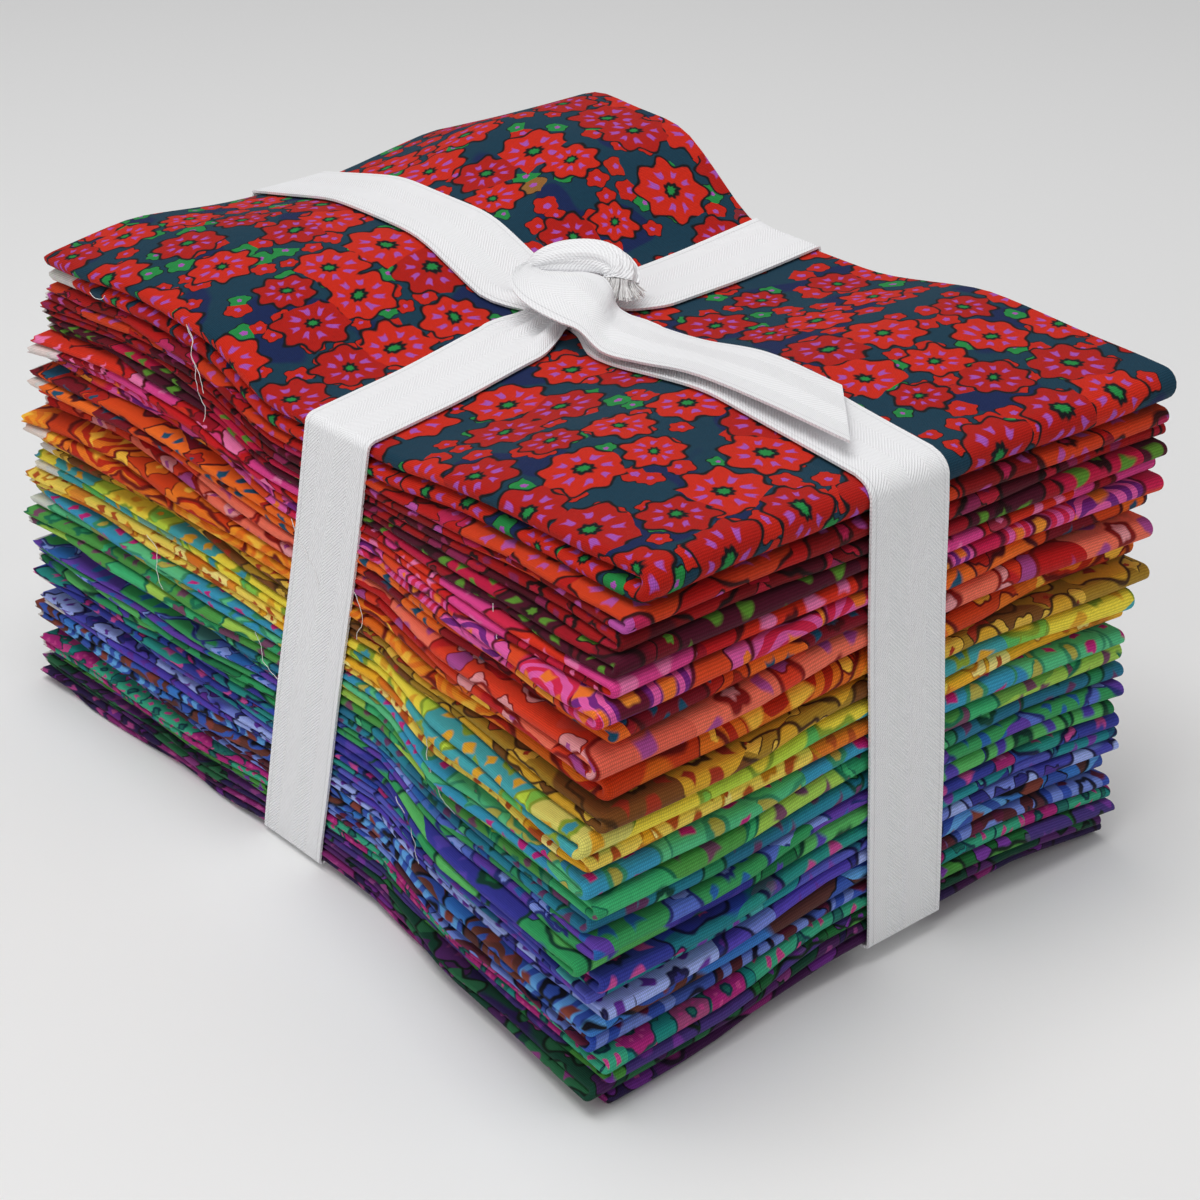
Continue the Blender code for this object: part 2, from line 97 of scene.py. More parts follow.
# The stack's shape: shape lines, and how far the top and the underside depart from level ones along them.
LINES_X = np.array((-71, -45, -20, 16, 45, 71)) * MM
LINES_Y = np.array((-112, -62, -30, 13, 42, 78, 112)) * MM
TOP_RISE = (
    # left edge, left lobe, tape, tape, right lobe, right edge
    (2.5, 2.5, 1.6, 1.2, 2.0, 3.0),
    (0.0, 3.5, 4.0, 4.0, 6.0, 6.0),
    (-5.0, -4.0, -1.0, -1.0, -0.5, 1.0),
    (-5.0, -4.0, -1.0, -1.0, -0.5, 1.0),
    (1.0, 6.0, 8.5, 8.5, 18.0, 19.0),
    (2.0, 7.0, 9.0, 9.0, 20.0, 21.0),
    (-1.0, 4.5, 2.2, 2.2, 8.0, 6.0),
)
FOOT_RISE = (
    (0.5, 0.0, 5.5, 5.5, 4.5, 1.0),
    (0.0, 0.0, 1.35, 1.35, 0.0, 0.0),
    (2.0, 1.35, 2.7, 2.7, 1.35, 2.5),
    (2.0, 1.35, 2.7, 2.7, 1.35, 2.5),
    (0.0, 0.0, 1.35, 1.35, 0.0, 0.0),
    (0.0, 0.0, 1.35, 1.35, 0.0, 0.0),
    (0.5, 0.0, 2.0, 2.0, 0.0, 0.5),
)
LEAN = 7 * MM
BOX_MIDDLE = (-4.250 * MM, -0.396 * MM)
PUFF_FLOOR = 45 * MM
MAP_STEP = 1.5 * MM
MAP_REACH_X = 96 * MM
MAP_REACH_Y = 135 * MM
MAP_BLUR = 4.5 * MM

# The fat quarters from the bottom up, and their printed colours.
FAT_QUARTERS = (
    # thick, shift x, shift y, turn degrees, spread, print
    (3.4, -0.3, 1.5, 0.4, 6.5, "plum"),
    (3.4, -1.8, 0.0, -0.8, 7.0, "forest"),
    (3.4, 0.2, -1.5, -0.1, 6.5, "moss"),
    (3.6, -2.3, -1.0, 0.5, 7.5, "lagoon"),
    (3.3, -0.3, 0.5, -1.0, 8.0, "slate"),
    (5.0, -2.3, 1.0, -0.2, 9.0, "river"),
    (3.3, -1.3, -1.0, 0.3, 9.0, "lilac"),
    (3.5, 0.2, 1.0, -0.7, 10.0, "indigo"),
    (3.7, -1.8, -0.5, 0.1, 9.0, "iris"),
    (4.5, -2.8, 0.5, -1.1, 10.5, "meadow"),
    (3.9, -2.8, -1.0, 0.0, 9.0, "periwinkle"),
    (4.2, -0.3, 1.0, -0.6, 10.5, "fern"),
    (4.9, -3.3, 0.0, 0.2, 9.5, "mint"),
    (4.6, -3.8, -0.5, -0.9, 9.0, "sherbet"),
    (4.4, -1.8, 1.5, -0.1, 10.5, "sunflower"),
    (4.9, -2.8, -1.0, -1.0, 11.0, "lime"),
    (4.6, 0.2, -1.5, 0.0, 12.5, "olive"),
    (6.2, -2.3, 2.0, 0.6, 9.0, "rust"),
    (5.7, -0.8, -2.0, -1.2, 11.5, "salmon"),
    (5.1, -1.3, 1.0, 0.1, 9.5, "marigold"),
    (4.0, 1.0, -1.5, -1.2, 13.5, "candy"),
    (3.9, -1.0, 0.5, -0.6, 9.0, "poppy"),
    (4.0, 1.0, -1.5, -1.6, 8.0, "crimson"),
    (3.5, 1.0, 0.5, -1.2, 6.0, "garnet"),
    (4.0, 0.5, -1.0, -1.8, 4.0, "scarlet"),
    (8.4, 1.0, -1.5, -1.6, 1.0, "garden"),
)
STACK_HEIGHT = sum(row[0] for row in FAT_QUARTERS) * MM
THICKS = [row[0] * MM for row in FAT_QUARTERS]
MOST_UNEVEN = 0.6 * MM
UNEVEN_SHARE = 0.15
TOP_UNEVEN = 0.45 * MM
# How far the face between each two fat quarters swells and dips, from under the lowest to over the topmost.
UNEVEN = [0.0, *[min(MOST_UNEVEN, UNEVEN_SHARE * min(pair)) for pair in zip(THICKS, THICKS[1:])], TOP_UNEVEN]

PRINTS = {
    # ground, patch, bloom, other bloom, small bloom, dot, outline, cell mm, petals, depth, rings
    "plum": ("43154a", "2a1c48", "8a2a72", "32204f", "6d2c86", "b04a8c", "1e0a24", 22, 6, 0.10, 0),
    "forest": ("154534", "2c1c50", "5a2a6a", "2c6a46", "4b2358", "8c3f80", "0c1e16", 20, 7, 0.15, 0),
    "moss": ("206c38", "38306c", "4c3880", "4c9440", "206038", "7c3ca0", "10281a", 18, 5, 0.12, 0),
    "lagoon": ("1f8c84", "26746a", "b0287c", "3ca884", "1f6f62", "c8488c", "0f3f4c", 11, 8, 0.05, 0),
    "slate": ("4a62b4", "5a3038", "5a2830", "3a58b4", "7a90d8", "6a2440", "181830", 21, 6, 0.12, 2),
    "river": ("3f80cc", "5a3430", "6a3a30", "68a8e0", "3c5cb0", "8a4438", "10101c", 24, 5, 0.10, 3),
    "lilac": ("7c8cdc", "4c4cb0", "5a48b8", "a4b4ee", "38388c", "6c38a0", "22204c", 19, 7, 0.12, 0),
    "indigo": ("343c94", "2a6c8c", "2a949c", "5c60c0", "50b0b0", "8048b0", "16184c", 20, 6, 0.10, 0),
    "iris": ("3450b0", "24808c", "38409c", "2c948c", "a82874", "c85098", "141c48", 22, 6, 0.12, 0),
    "meadow": ("36a062", "3c3c9c", "3c3c9c", "60bc68", "247c4c", "5a48b0", "104434", 26, 5, 0.10, 0),
    "periwinkle": ("5c74cc", "389c60", "40a060", "6844ac", "8ca0e8", "2c68b0", "2c347c", 22, 7, 0.10, 0),
    "fern": ("349868", "247c98", "2c88a0", "2c7898", "58bc80", "70406c", "104c40", 20, 6, 0.10, 0),
    "mint": ("44b878", "74ac48", "54a04c", "a8d058", "34a06c", "7c4c68", "1c7454", 21, 6, 0.10, 0),
    "sherbet": ("62c48c", "3c90c0", "3c9cc0", "58c088", "b8b054", "c42884", "3c9470", 19, 8, 0.05, 0),
    "sunflower": ("f0b42c", "e89434", "f4d860", "e07c24", "f6e48c", "b85420", "c8841c", 18, 6, 0.10, 0),
    "lime": ("c0dc48", "60bc64", "f0dc48", "48a8b0", "88c850", "e0a830", "8ca434", 22, 6, 0.10, 0),
    "olive": ("a88428", "7c5020", "d8a830", "7c4c20", "e0b848", "a83820", "4c3010", 18, 6, 0.10, 0),
    "rust": ("d04c18", "e07820", "c03410", "f0a030", "e88428", "f8c850", "7c1c08", 27, 5, 0.06, 4),
    "salmon": ("e04c2c", "c8282c", "f08068", "c42020", "e8a4a8", "b4589c", "941c18", 25, 5, 0.14, 0),
    "marigold": ("dc581c", "a82430", "88142c", "f07c2c", "bc2c20", "20607c", "5c1018", 21, 7, 0.10, 0),
    "candy": ("e0582c", "d42860", "84308c", "d8305c", "e46cb0", "f08838", "701438", 23, 5, 0.10, 4),
    "poppy": ("cc2028", "d83058", "e05098", "dc3c20", "a81430", "f088b8", "640814", 24, 6, 0.10, 0),
    "crimson": ("a8142c", "78102c", "5c0c30", "c41c50", "7c1028", "6c9c3c", "380414", 24, 6, 0.12, 0),
    "garnet": ("84101c", "5c0c20", "ac181c", "600c28", "b82440", "983060", "2c0408", 20, 7, 0.10, 0),
    "scarlet": ("bc1c18", "94182c", "d44c20", "941418", "c02c60", "c060ac", "480808", 21, 7, 0.10, 0),
    "garden": ("18485c", "1a3060", "d03214", "b82010", "c82c14", "b060b8", "10141c", 18, 8, 0.12, 0),
}
# Prints with a colour of their own for leaves and for the hearts of the blossoms.
LEAF_INKS = {
    "garden": "2c9450",
    "crimson": "6c9c3c",
    "candy": "f0a040",
    "lime": "3c98ac",
    "marigold": "20607c",
}
REVERSE_COLOUR = "e4dfda"
SHOW_THROUGH = 0.16
# Inks look deeper in cloth than their codes, and the warm ones, from this place in the stack up, the most.
WARM_DEPTH = 1.2
COOL_DEPTH = 1.06
WARM_FROM = 18
# Unprinted edge at the lower cut end, in millimetres, by place in the stack. The rest have 1.
PLAIN_EDGES = {26: 12, 22: 12, 21: 4, 20: 6, 18: 10, 17: 6, 16: 10, 14: 8, 9: 5, 7: 9}


RIPPLE_WAVES = 6


def blend(start, end, share):
    return start + (end - start) * share


def ease(share):
    share = np.clip(share, 0.0, 1.0)
    return share * share * (3 - 2 * share)


def waves(seed, shortest, longest):
    """Seeded plane waves for soft unevenness: direction, wave number, phase and weight of each."""
    dice = np.random.default_rng(seed)
    length = np.exp(dice.uniform(math.log(shortest), math.log(longest), RIPPLE_WAVES))
    heading = dice.uniform(0, math.pi, RIPPLE_WAVES)
    weight = length / length.sum()
    return list(zip(heading, 2 * math.pi / length, dice.uniform(0, 2 * math.pi, RIPPLE_WAVES), weight))


def ripple(seed, x, y, shortest=35 * MM, longest=120 * MM):
    """Smooth unevenness over the plane, from about -1 to 1."""
    total = 0.0
    for heading, number, phase, weight in waves(seed, shortest, longest):
        total = total + weight * np.sin(number * (x * math.cos(heading) + y * math.sin(heading)) + phase)
    return total * 1.6


def extended(lines, table, axis):
    """A table with one more row at each end, past its edges, so that slopes go on."""
    first, second = np.take(table, 0, axis), np.take(table, 1, axis)
    last, before = np.take(table, -1, axis), np.take(table, -2, axis)
    reach = 30 * MM
    low = first + (first - second) * reach / (lines[1] - lines[0])
    high = last + (last - before) * reach / (lines[-1] - lines[-2])
    grown = np.concatenate([np.expand_dims(low, axis), table, np.expand_dims(high, axis)], axis)
    return np.array([lines[0] - reach, *lines, lines[-1] + reach]), grown


def shape_map(table):
    """A fine, softened map of a table of rises, in metres."""
    rises = np.array(table) * MM
    lines_y, rises = extended(LINES_Y, rises, 0)
    lines_x, rises = extended(LINES_X, rises, 1)
    xs = np.arange(-MAP_REACH_X, MAP_REACH_X, MAP_STEP)
    ys = np.arange(-MAP_REACH_Y, MAP_REACH_Y, MAP_STEP)
    across = np.array([np.interp(xs, lines_x, row) for row in rises])
    fine = np.array([np.interp(ys, lines_y, column) for column in across.T])
    reach = int(3 * MAP_BLUR / MAP_STEP)
    steps = np.arange(-reach, reach + 1) * MAP_STEP
    kernel = np.exp(-0.5 * (steps / MAP_BLUR) ** 2)
    kernel /= kernel.sum()
    for axis in (0, 1):
        padded = np.pad(fine, [(reach, reach) if a == axis else (0, 0) for a in (0, 1)], mode="edge")
        fine = np.apply_along_axis(lambda line: np.convolve(line, kernel, mode="valid"), axis, padded)
    return fine


TOP_MAP = shape_map(TOP_RISE)
FOOT_MAP = shape_map(FOOT_RISE)


def read_map(field, x, y):
    """A map's value at places, by straight blending between its points."""
    i = np.clip((x + MAP_REACH_X) / MAP_STEP, 0, field.shape[0] - 1.001)
    j = np.clip((y + MAP_REACH_Y) / MAP_STEP, 0, field.shape[1] - 1.001)
    a, b = np.floor(i).astype(int), np.floor(j).astype(int)
    s, t = i - a, j - b
    near = blend(field[a, b], field[a + 1, b], s)
    far = blend(field[a, b + 1], field[a + 1, b + 1], s)
    return blend(near, far, t)


def level(height, x, y):
    """Where a layer that would lie level at this height really lies."""
    share = height / STACK_HEIGHT
    puff = np.maximum(0.0, (height - PUFF_FLOOR) / (STACK_HEIGHT - PUFF_FLOOR))
    top, foot = read_map(TOP_MAP, x, y), read_map(FOOT_MAP, x, y)
    return height + top * np.where(top < 0, share, puff) + foot * (1 - share)


def hold(lines, along):
    """1 where the tape holds a side in line, falling softly to 0 at the lobes on either side."""
    low_lobe, low_tape, high_tape, high_lobe = lines[1:5]
    before = (along - low_lobe) / (low_tape - low_lobe)
    after = (high_lobe - along) / (high_lobe - high_tape)
    return ease(np.minimum(before, after))


def placed(points):
    """Leans the stack and centres its box over the origin, as the frame does."""
    x, y, z = points[..., 0], points[..., 1], points[..., 2]
    return np.stack([x + LEAN * (z / STACK_HEIGHT - 0.5) - BOX_MIDDLE[0], y - BOX_MIDDLE[1], z], -1)


def show(thing):
    bpy.context.scene.collection.objects.link(thing)


def sheet_object(name, points, cloth_uv, thick, material, outward):
    """A sheet with two sides and a rim, from a grid of points. outward says which way its print faces."""
    rows, columns = points.shape[:2]
    normal = np.cross(np.gradient(points, axis=0), np.gradient(points, axis=1))
    normal /= np.maximum(np.linalg.norm(normal, axis=-1, keepdims=True), 1e-12)
    normal *= outward
    both = np.concatenate([points + normal * thick / 2, points - normal * thick / 2]).reshape(-1, 3)
    index = np.arange(rows * columns).reshape(rows, columns)
    a, b, c, d = index[:-1, :-1], index[1:, :-1], index[1:, 1:], index[:-1, 1:]
    front = np.stack([a, b, c, d], -1).reshape(-1, 4)
    border = np.concatenate([index[:, 0], index[-1, 1:], index[-2::-1, -1], index[0, -2:0:-1]])
    after = np.roll(border, -1)
    under = rows * columns
    back = front[:, ::-1] + under
    rim = np.stack([after, border, border + under, after + under], -1)
    faces = np.concatenate([front, back, rim])
    if outward < 0:
        faces = faces[:, ::-1]
    mesh = bpy.data.meshes.new(name)
    mesh.from_pydata(both.tolist(), [], faces.tolist())
    reverse = mesh.attributes.new("reverse", "FLOAT", "POINT")
    reverse.data.foreach_set("value", np.repeat([0.0, 1.0], under))
    layer = mesh.uv_layers.new(name="cloth")
    corners = np.empty(len(mesh.loops), np.int32)
    mesh.loops.foreach_get("vertex_index", corners)
    flat = np.concatenate([cloth_uv.reshape(-1, 2)] * 2)
    layer.data.foreach_set("uv", flat[corners].ravel())
    mesh.materials.append(material)
    mesh.shade_smooth()
    mesh.set_sharp_from_angle(angle=math.radians(60))
    sheet = bpy.data.objects.new(name, mesh)
    show(sheet)
    return sheet


def width_path(fine):
    """The way across the folded width, column by column.

    Each gives the share of the width from the cut edges to the ridge, the depth in the leaf, how far round a
    fold's nose it is, and the fold's half height as a share of the leaf.
    """
    depth = LAYER_DEPTHS
    columns = []

    def flat(level_now, start, end, count):
        for share in np.linspace(start, end, count):
            columns.append((share, depth[level_now], 0.0, 0.0))

    def nose(before, after, side, count):
        for step in range(1, count):
            turned = math.pi * step / count
            deep = blend(depth[before], depth[after], (1 - math.cos(turned)) / 2)
            half = abs(depth[after] - depth[before]) / 2
            columns.append((1.0 if side < 0 else TURN_BACK, deep, side * math.sin(turned), half))

    flat(0, 0.0, 1.0, 30 if fine else 16)
    nose(0, 3, -1, 8)
    flat(3, 1.0, TURN_BACK, 9)
    nose(3, 2, 1, 5)
    flat(2, TURN_BACK, 1.0, 9)
    nose(2, 1, -1, 5)
    flat(1, 1.0, CUT_BACK, 12)
    return np.array(columns).T


def length_path(fine):
    """Each row's share of the folded length, from the cut edges to the fold, and its turn round the fold."""
    flat = np.linspace(0.0, 1.0, 46 if fine else 30)
    around = np.linspace(-math.pi / 2, math.pi / 2, 11)[1:-1]
    share = np.concatenate([flat, np.ones(len(around)), flat[::-1]])
    turned = np.concatenate([flat * 0 - math.pi / 2, around, flat * 0 + math.pi / 2])
    return share, turned


def fat_quarter(number, row, bottom, top, material):
    """One folded sheet, in its place in the stack."""
    _, shift_x, shift_y, turn, spread, _ = row
    shift_x, shift_y, spread = shift_x * MM, shift_y * MM, spread * MM
    slope = math.tan(math.radians(turn))
    fine = number == len(FAT_QUARTERS)
    share_x, depth, nose, half = (line[:, None] for line in width_path(fine))
    share_y, turned = (line[None, :] for line in length_path(fine))
    upper = (np.sin(turned) + 1) / 2

    def uneven(seed, reach, *place):
        lower_leaf = ripple(10 * number + seed, *place, 25 * MM, 110 * MM)
        upper_leaf = ripple(10 * number + seed + 500, *place, 25 * MM, 110 * MM)
        return reach * blend(lower_leaf, upper_leaf, upper)

    def faces_at(x, y):
        low = level(bottom + UNEVEN[number - 1] * ripple(number, x, y), x, y)
        high = level(top + UNEVEN[number] * ripple(number + 1, x, y), x, y) - GAP
        low = np.maximum(low, CLOTH_THICK / 2)
        return (low + high) / 2, (high - low) / 2

    def drift(shift, slope, lines, along):
        free = 1 - hold(lines, along)
        corner = np.maximum(0.0, 2 * np.abs(along) / abs(lines[0]) - 1)
        return free * (shift + slope * along), CORNER_FLARE * free * corner

    def left_side(y, half_thick):
        move, flare = drift(shift_x, -slope, LINES_Y, y)
        from_tape = np.clip((LINES_Y[2] - y) / (LINES_Y[2] + FACE_Y), 0, 1.2)
        side = -FACE_X + move - flare - spread * from_tape**SPREAD_POWER
        wobble = uneven(1, RIDGE_WANDER, y, 0 * y) * (1 - TAPE_STEADIES * hold(LINES_Y, y))
        return side + wobble + (half_thick - FOLD_RADIUS) * OUTER_HALF * NOSE

    def right_side(y):
        move, flare = drift(shift_x, -slope, LINES_Y, y)
        return FACE_X + move + flare + uneven(2, EDGE_WANDER, y, 0 * y) * (1 - hold(LINES_Y, y))

    def front_side(x):
        move, flare = drift(shift_y, slope, LINES_X, x)
        half_thick = faces_at(x, 0 * x - FACE_Y)[1]
        wobble = EDGE_WANDER * ripple(number + 80, x, 0 * x) * (1 - TAPE_STEADIES * hold(LINES_X, x))
        return -FACE_Y + move - flare + wobble + NOSE * half_thick

    def back_side(x):
        move, flare = drift(shift_y, slope, LINES_X, x)
        return FACE_Y + move + flare + uneven(3, EDGE_WANDER, x, 0 * x) * (1 - hold(LINES_X, x))

    stagger = STAGGER * (1 + np.sin(11 * depth + 2.1 * number + 2.6 * upper))
    x = blend(FACE_X, -FACE_X, share_x) + 0 * share_y
    # The sides and the ends bend with each other, so their places are found in two rounds.
    for _ in range(2):
        y = blend(back_side(x) - stagger, front_side(x), share_y)
        middle, half_thick = faces_at(x, y)
        x = blend(right_side(y), left_side(y, half_thick), share_x)
        x = x + nose * half * (half_thick - FOLD_RADIUS) * NOSE
    radius = blend(half_thick, FOLD_RADIUS, depth)
    points = np.stack([x, y - NOSE * radius * np.cos(turned), middle + radius * np.sin(turned)], -1)
    across = np.linalg.norm(np.diff(points, axis=0), axis=-1).mean(1)
    along = np.linalg.norm(np.diff(points, axis=1), axis=-1).mean(0)
    u = np.concatenate([[0.0], np.cumsum(across)])
    v = np.concatenate([[0.0], np.cumsum(along)])
    u, v = np.meshgrid(u * CUT_WIDTH / u[-1], v * CUT_LENGTH / v[-1], indexing="ij")
    name = f"folded_sheet_{number:02d}"
    sheet = sheet_object(name, placed(points), np.stack([u, v], -1), CLOTH_THICK, material, -1.0)
    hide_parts(f"fat_quarter_{number:02d}")
    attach(sheet, "root")


def top_at(x, y):
    """The upper face of the stack."""
    return level(STACK_HEIGHT + UNEVEN[-1] * ripple(len(FAT_QUARTERS) + 1, x, y), x, y) - GAP


class Nodes:
    """Short ways to lay nodes in a material or a group. A socket or a plain value may feed any input."""

    def __init__(self, tree):
        self.tree = tree

    def put(self, kind, feeds=(), **settings):
        node = self.tree.nodes.new(kind)
        for name, value in settings.items():
            setattr(node, name, value)
        for name, value in dict(feeds).items():
            self.feed(node.inputs[name], value)
        return node

    def feed(self, socket, value):
        if isinstance(value, bpy.types.NodeSocket):
            self.tree.links.new(value, socket)
        else:
            socket.default_value = value

    def math(self, operation, a, b=0.0, c=0.0):
        return self.put("ShaderNodeMath", {0: a, 1: b, 2: c}, operation=operation).outputs[0]

    def vector(self, operation, a, b):
        return self.put("ShaderNodeVectorMath", {0: a, 1: b}, operation=operation).outputs[0]

    def grey(self, value):
        return self.put("ShaderNodeCombineColor", {0: value, 1: value, 2: value}).outputs[0]

    def noise(self, place, scale, detail):
        feeds = {"Vector": place, "Scale": scale, "Detail": detail}
        return self.put("ShaderNodeTexNoise", feeds).outputs

    def times(self, vector, factor):
        node = self.put("ShaderNodeVectorMath", {0: vector, "Scale": factor}, operation="SCALE")
        return node.outputs[0]

    def mix(self, share, a, b, blend_type="MIX"):
        node = self.put("ShaderNodeMix", data_type="RGBA", blend_type=blend_type)
        self.feed(node.inputs["Factor"], share)
        self.feed(node.inputs[6], a)
        self.feed(node.inputs[7], b)
        return node.outputs[2]

    def below(self, value, edge, soft):
        """1 where value is under edge, falling to 0 over soft on either side."""
        low = self.math("SUBTRACT", edge, soft)
        high = self.math("ADD", edge, soft)
        feeds = {"Value": value, "From Min": low, "From Max": high, "To Min": 1.0, "To Max": 0.0}
        return self.put("ShaderNodeMapRange", feeds).outputs[0]

    def group(self, tree, feeds):
        node = self.put("ShaderNodeGroup")
        node.node_tree = tree
        for name, value in feeds.items():
            self.feed(node.inputs[name], value)
        return node.outputs


def new_group(name, inputs, outputs, tree_kind="ShaderNodeTree"):
    """An empty group: inputs are given as name, kind and value or None, and outputs as name and kind."""
    tree = bpy.data.node_groups.new(name, tree_kind)
    for label, kind, value in inputs:
        socket = tree.interface.new_socket(label, in_out="INPUT", socket_type=f"NodeSocket{kind}")
        if value is not None:
            socket.default_value = value
    for label, kind in outputs:
        tree.interface.new_socket(label, in_out="OUTPUT", socket_type=f"NodeSocket{kind}")
    nodes = Nodes(tree)
    return nodes, nodes.put("NodeGroupInput").outputs, nodes.put("NodeGroupOutput")


def new_material(name, settings):
    """A material with these values on its shader, and a way to lay its nodes."""
    material = bpy.data.materials.new(name)
    material.use_nodes = True
    shader = material.node_tree.nodes["Principled BSDF"]
    for label, value in settings.items():
        shader.inputs[label].default_value = value
    return material, Nodes(material.node_tree), shader


def ink(code):
    """A linear colour from its usual six-figure code."""
    parts = [int(code[place : place + 2], 16) / 255 for place in (0, 2, 4)]
    return (*[part / 12.92 if part < 0.04045 else ((part + 0.055) / 1.055) ** 2.4 for part in parts], 1.0)


def dye(code, depth):
    """A printed colour: an ink that has sunk into the cloth, deeper than its code."""
    return (*[part**depth for part in ink(code)[:3]], 1.0)


def blossom_group():
    """Round petalled blossoms over the cloth, with an outline, dots, rings, an eye and a heart."""
    inputs = (
        ("Cloth", "Vector", (0, 0, 0)),
        ("Cell", "Float", 0.02),
        ("Petals", "Float", 6.0),
        ("Depth", "Float", 0.1),
        ("Size", "Float", 0.42),
        ("Scatter", "Float", 0.6),
        ("Rings", "Float", 0.0),
    )
    labels = ("Blossom", "Outline", "Dots", "Eye", "Heart", "Rings", "Chance")
    nodes, given, result = new_group("blossoms", inputs, [(label, "Float") for label in labels])
    place = nodes.times(given["Cloth"], nodes.math("DIVIDE", 1.0, given["Cell"]))
    wobble = nodes.noise(place, 2.3, 2.0)
    shift = nodes.times(nodes.vector("SUBTRACT", wobble["Color"], (0.5, 0.5, 0.5)), 0.22)
    place = nodes.vector("ADD", place, shift)
    cells = nodes.put("ShaderNodeTexVoronoi", {"Vector": place, "Scale": 1.0}, voronoi_dimensions="2D")
    nodes.feed(cells.inputs["Randomness"], given["Scatter"])
    offset = nodes.vector("SUBTRACT", place, cells.outputs["Position"])
    parts = nodes.put("ShaderNodeSeparateXYZ", {0: offset}).outputs
    chance = nodes.put("ShaderNodeSeparateColor", {0: cells.outputs["Color"]}).outputs
    across = nodes.math("MULTIPLY", parts[0], parts[0])
    reach = nodes.math("SQRT", nodes.math("ADD", across, nodes.math("MULTIPLY", parts[1], parts[1])))
    around = nodes.math("ARCTAN2", parts[1], parts[0])
    turned = nodes.math("MULTIPLY_ADD", chance[1], 6.28, nodes.math("MULTIPLY", around, given["Petals"]))
    lobe = nodes.math("COSINE", turned)
    swell = nodes.math("MULTIPLY_ADD", lobe, given["Depth"], 1.0)
    own = nodes.math("MULTIPLY", given["Size"], nodes.math("MULTIPLY_ADD", chance[2], 0.5, 0.72))
    edge = nodes.math("MULTIPLY", own, swell)
    nodes.feed(result.inputs["Blossom"], nodes.below(reach, edge, 0.012))
    nodes.feed(result.inputs["Outline"], nodes.below(reach, nodes.math("ADD", edge, 0.045), 0.012))
    ring = nodes.math("ABSOLUTE", nodes.math("SUBTRACT", reach, nodes.math("MULTIPLY", edge, 0.62)))
    near_ring = nodes.below(ring, nodes.math("MULTIPLY", edge, 0.13), 0.015)
    dots = nodes.math("MULTIPLY", near_ring, nodes.below(lobe, -0.35, 0.2))
    nodes.feed(result.inputs["Dots"], dots)
    nodes.feed(result.inputs["Eye"], nodes.below(reach, nodes.math("MULTIPLY", edge, 0.26), 0.015))
    nodes.feed(result.inputs["Heart"], nodes.below(reach, nodes.math("MULTIPLY", edge, 0.13), 0.012))
    bands = nodes.math("SINE", nodes.math("MULTIPLY", reach, nodes.math("MULTIPLY", given["Rings"], 12.6)))
    nodes.feed(result.inputs["Rings"], nodes.below(bands, -0.05, 0.12))
    nodes.feed(result.inputs["Chance"], chance[0])
    return nodes.tree


def weave_group():
    """A plain weave: the height of its threads, and a colour factor of painted shade, darker in the gaps
    between them, with a slub tone.
    """
    inputs = (("Cloth", "Vector", (0, 0, 0)), ("Pitch", "Float", 0.0004))
    nodes, given, result = new_group("plain_weave", inputs, (("Height", "Float"), ("Shade", "Float")))
    waver = nodes.noise(given["Cloth"], 180.0, 2.0)
    shift = nodes.times(nodes.vector("SUBTRACT", waver["Color"], (0.5, 0.5, 0.5)), 0.0004)
    place = nodes.vector("ADD", given["Cloth"], shift)
    turns = nodes.times(place, nodes.math("DIVIDE", math.pi, given["Pitch"]))
    parts = nodes.put("ShaderNodeSeparateXYZ", {0: turns}).outputs
    warp = nodes.math("ABSOLUTE", nodes.math("SINE", parts[0]))
    weft = nodes.math("ABSOLUTE", nodes.math("SINE", parts[1]))
    height = nodes.math("MULTIPLY", warp, weft)
    slub = nodes.noise(given["Cloth"], 900.0, 2.0)
    # Painted shade: darker in the gaps between threads and lighter on their crowns, plus a real slub tone
    # from the noise.
    painted_shade_and_slub = nodes.math("MULTIPLY_ADD", height, 0.56, nodes.math("MULTIPLY", slub[0], 0.3))
    nodes.feed(result.inputs["Height"], height)
    nodes.feed(result.inputs["Shade"], nodes.math("ADD", painted_shade_and_slub, 0.61))
    return nodes.tree


def twill_group():
    """A herringbone twill: slanting ribs that turn back in rows along the tape, with painted shade in the
    valleys of its ribs and threads and in its grooves.
    """
    inputs = (("Tape", "Vector", (0, 0, 0)), ("Rib", "Float", 0.0009), ("Row", "Float", 0.0055))
    nodes, given, result = new_group("herringbone", inputs, (("Height", "Float"), ("Shade", "Float")))
    parts = nodes.put("ShaderNodeSeparateXYZ", {0: given["Tape"]}).outputs
    across = nodes.math("PINGPONG", parts[0], given["Row"])
    slant = nodes.math("ADD", parts[1], nodes.math("MULTIPLY", across, 1.1))
    turns = nodes.math("DIVIDE", 2 * math.pi, given["Rib"])
    ribs = nodes.math("SINE", nodes.math("MULTIPLY", slant, turns))
    threads = nodes.math("SINE", nodes.math("MULTIPLY", parts[0], 2 * math.pi / TAPE_THREAD))
    height = nodes.math("MULTIPLY_ADD", threads, 0.2, nodes.math("MULTIPLY_ADD", ribs, 0.5, 0.5))
    grain = nodes.noise(given["Tape"], 700.0, 3.0)
    from_edge = nodes.math("PINGPONG", parts[0], TAPE_WIDTH / 2)
    groove = nodes.math("ABSOLUTE", nodes.math("SUBTRACT", from_edge, TAPE_GROOVE))
    groove = nodes.below(groove, 0.0001, 0.0001)
    height = nodes.math("SUBTRACT", height, groove)
    nodes.feed(result.inputs["Height"], nodes.math("MULTIPLY_ADD", grain[0], 0.4, height))
    # Painted shade: the tape's colour is darker in the valleys between ribs and threads and in the grooves
    # near its edges.
    nodes.feed(result.inputs["Shade"], nodes.math("MULTIPLY_ADD", height, 0.13, 0.88))
    return nodes.tree


BLOSSOMS = blossom_group()
WEAVE = weave_group()
TWILL = twill_group()


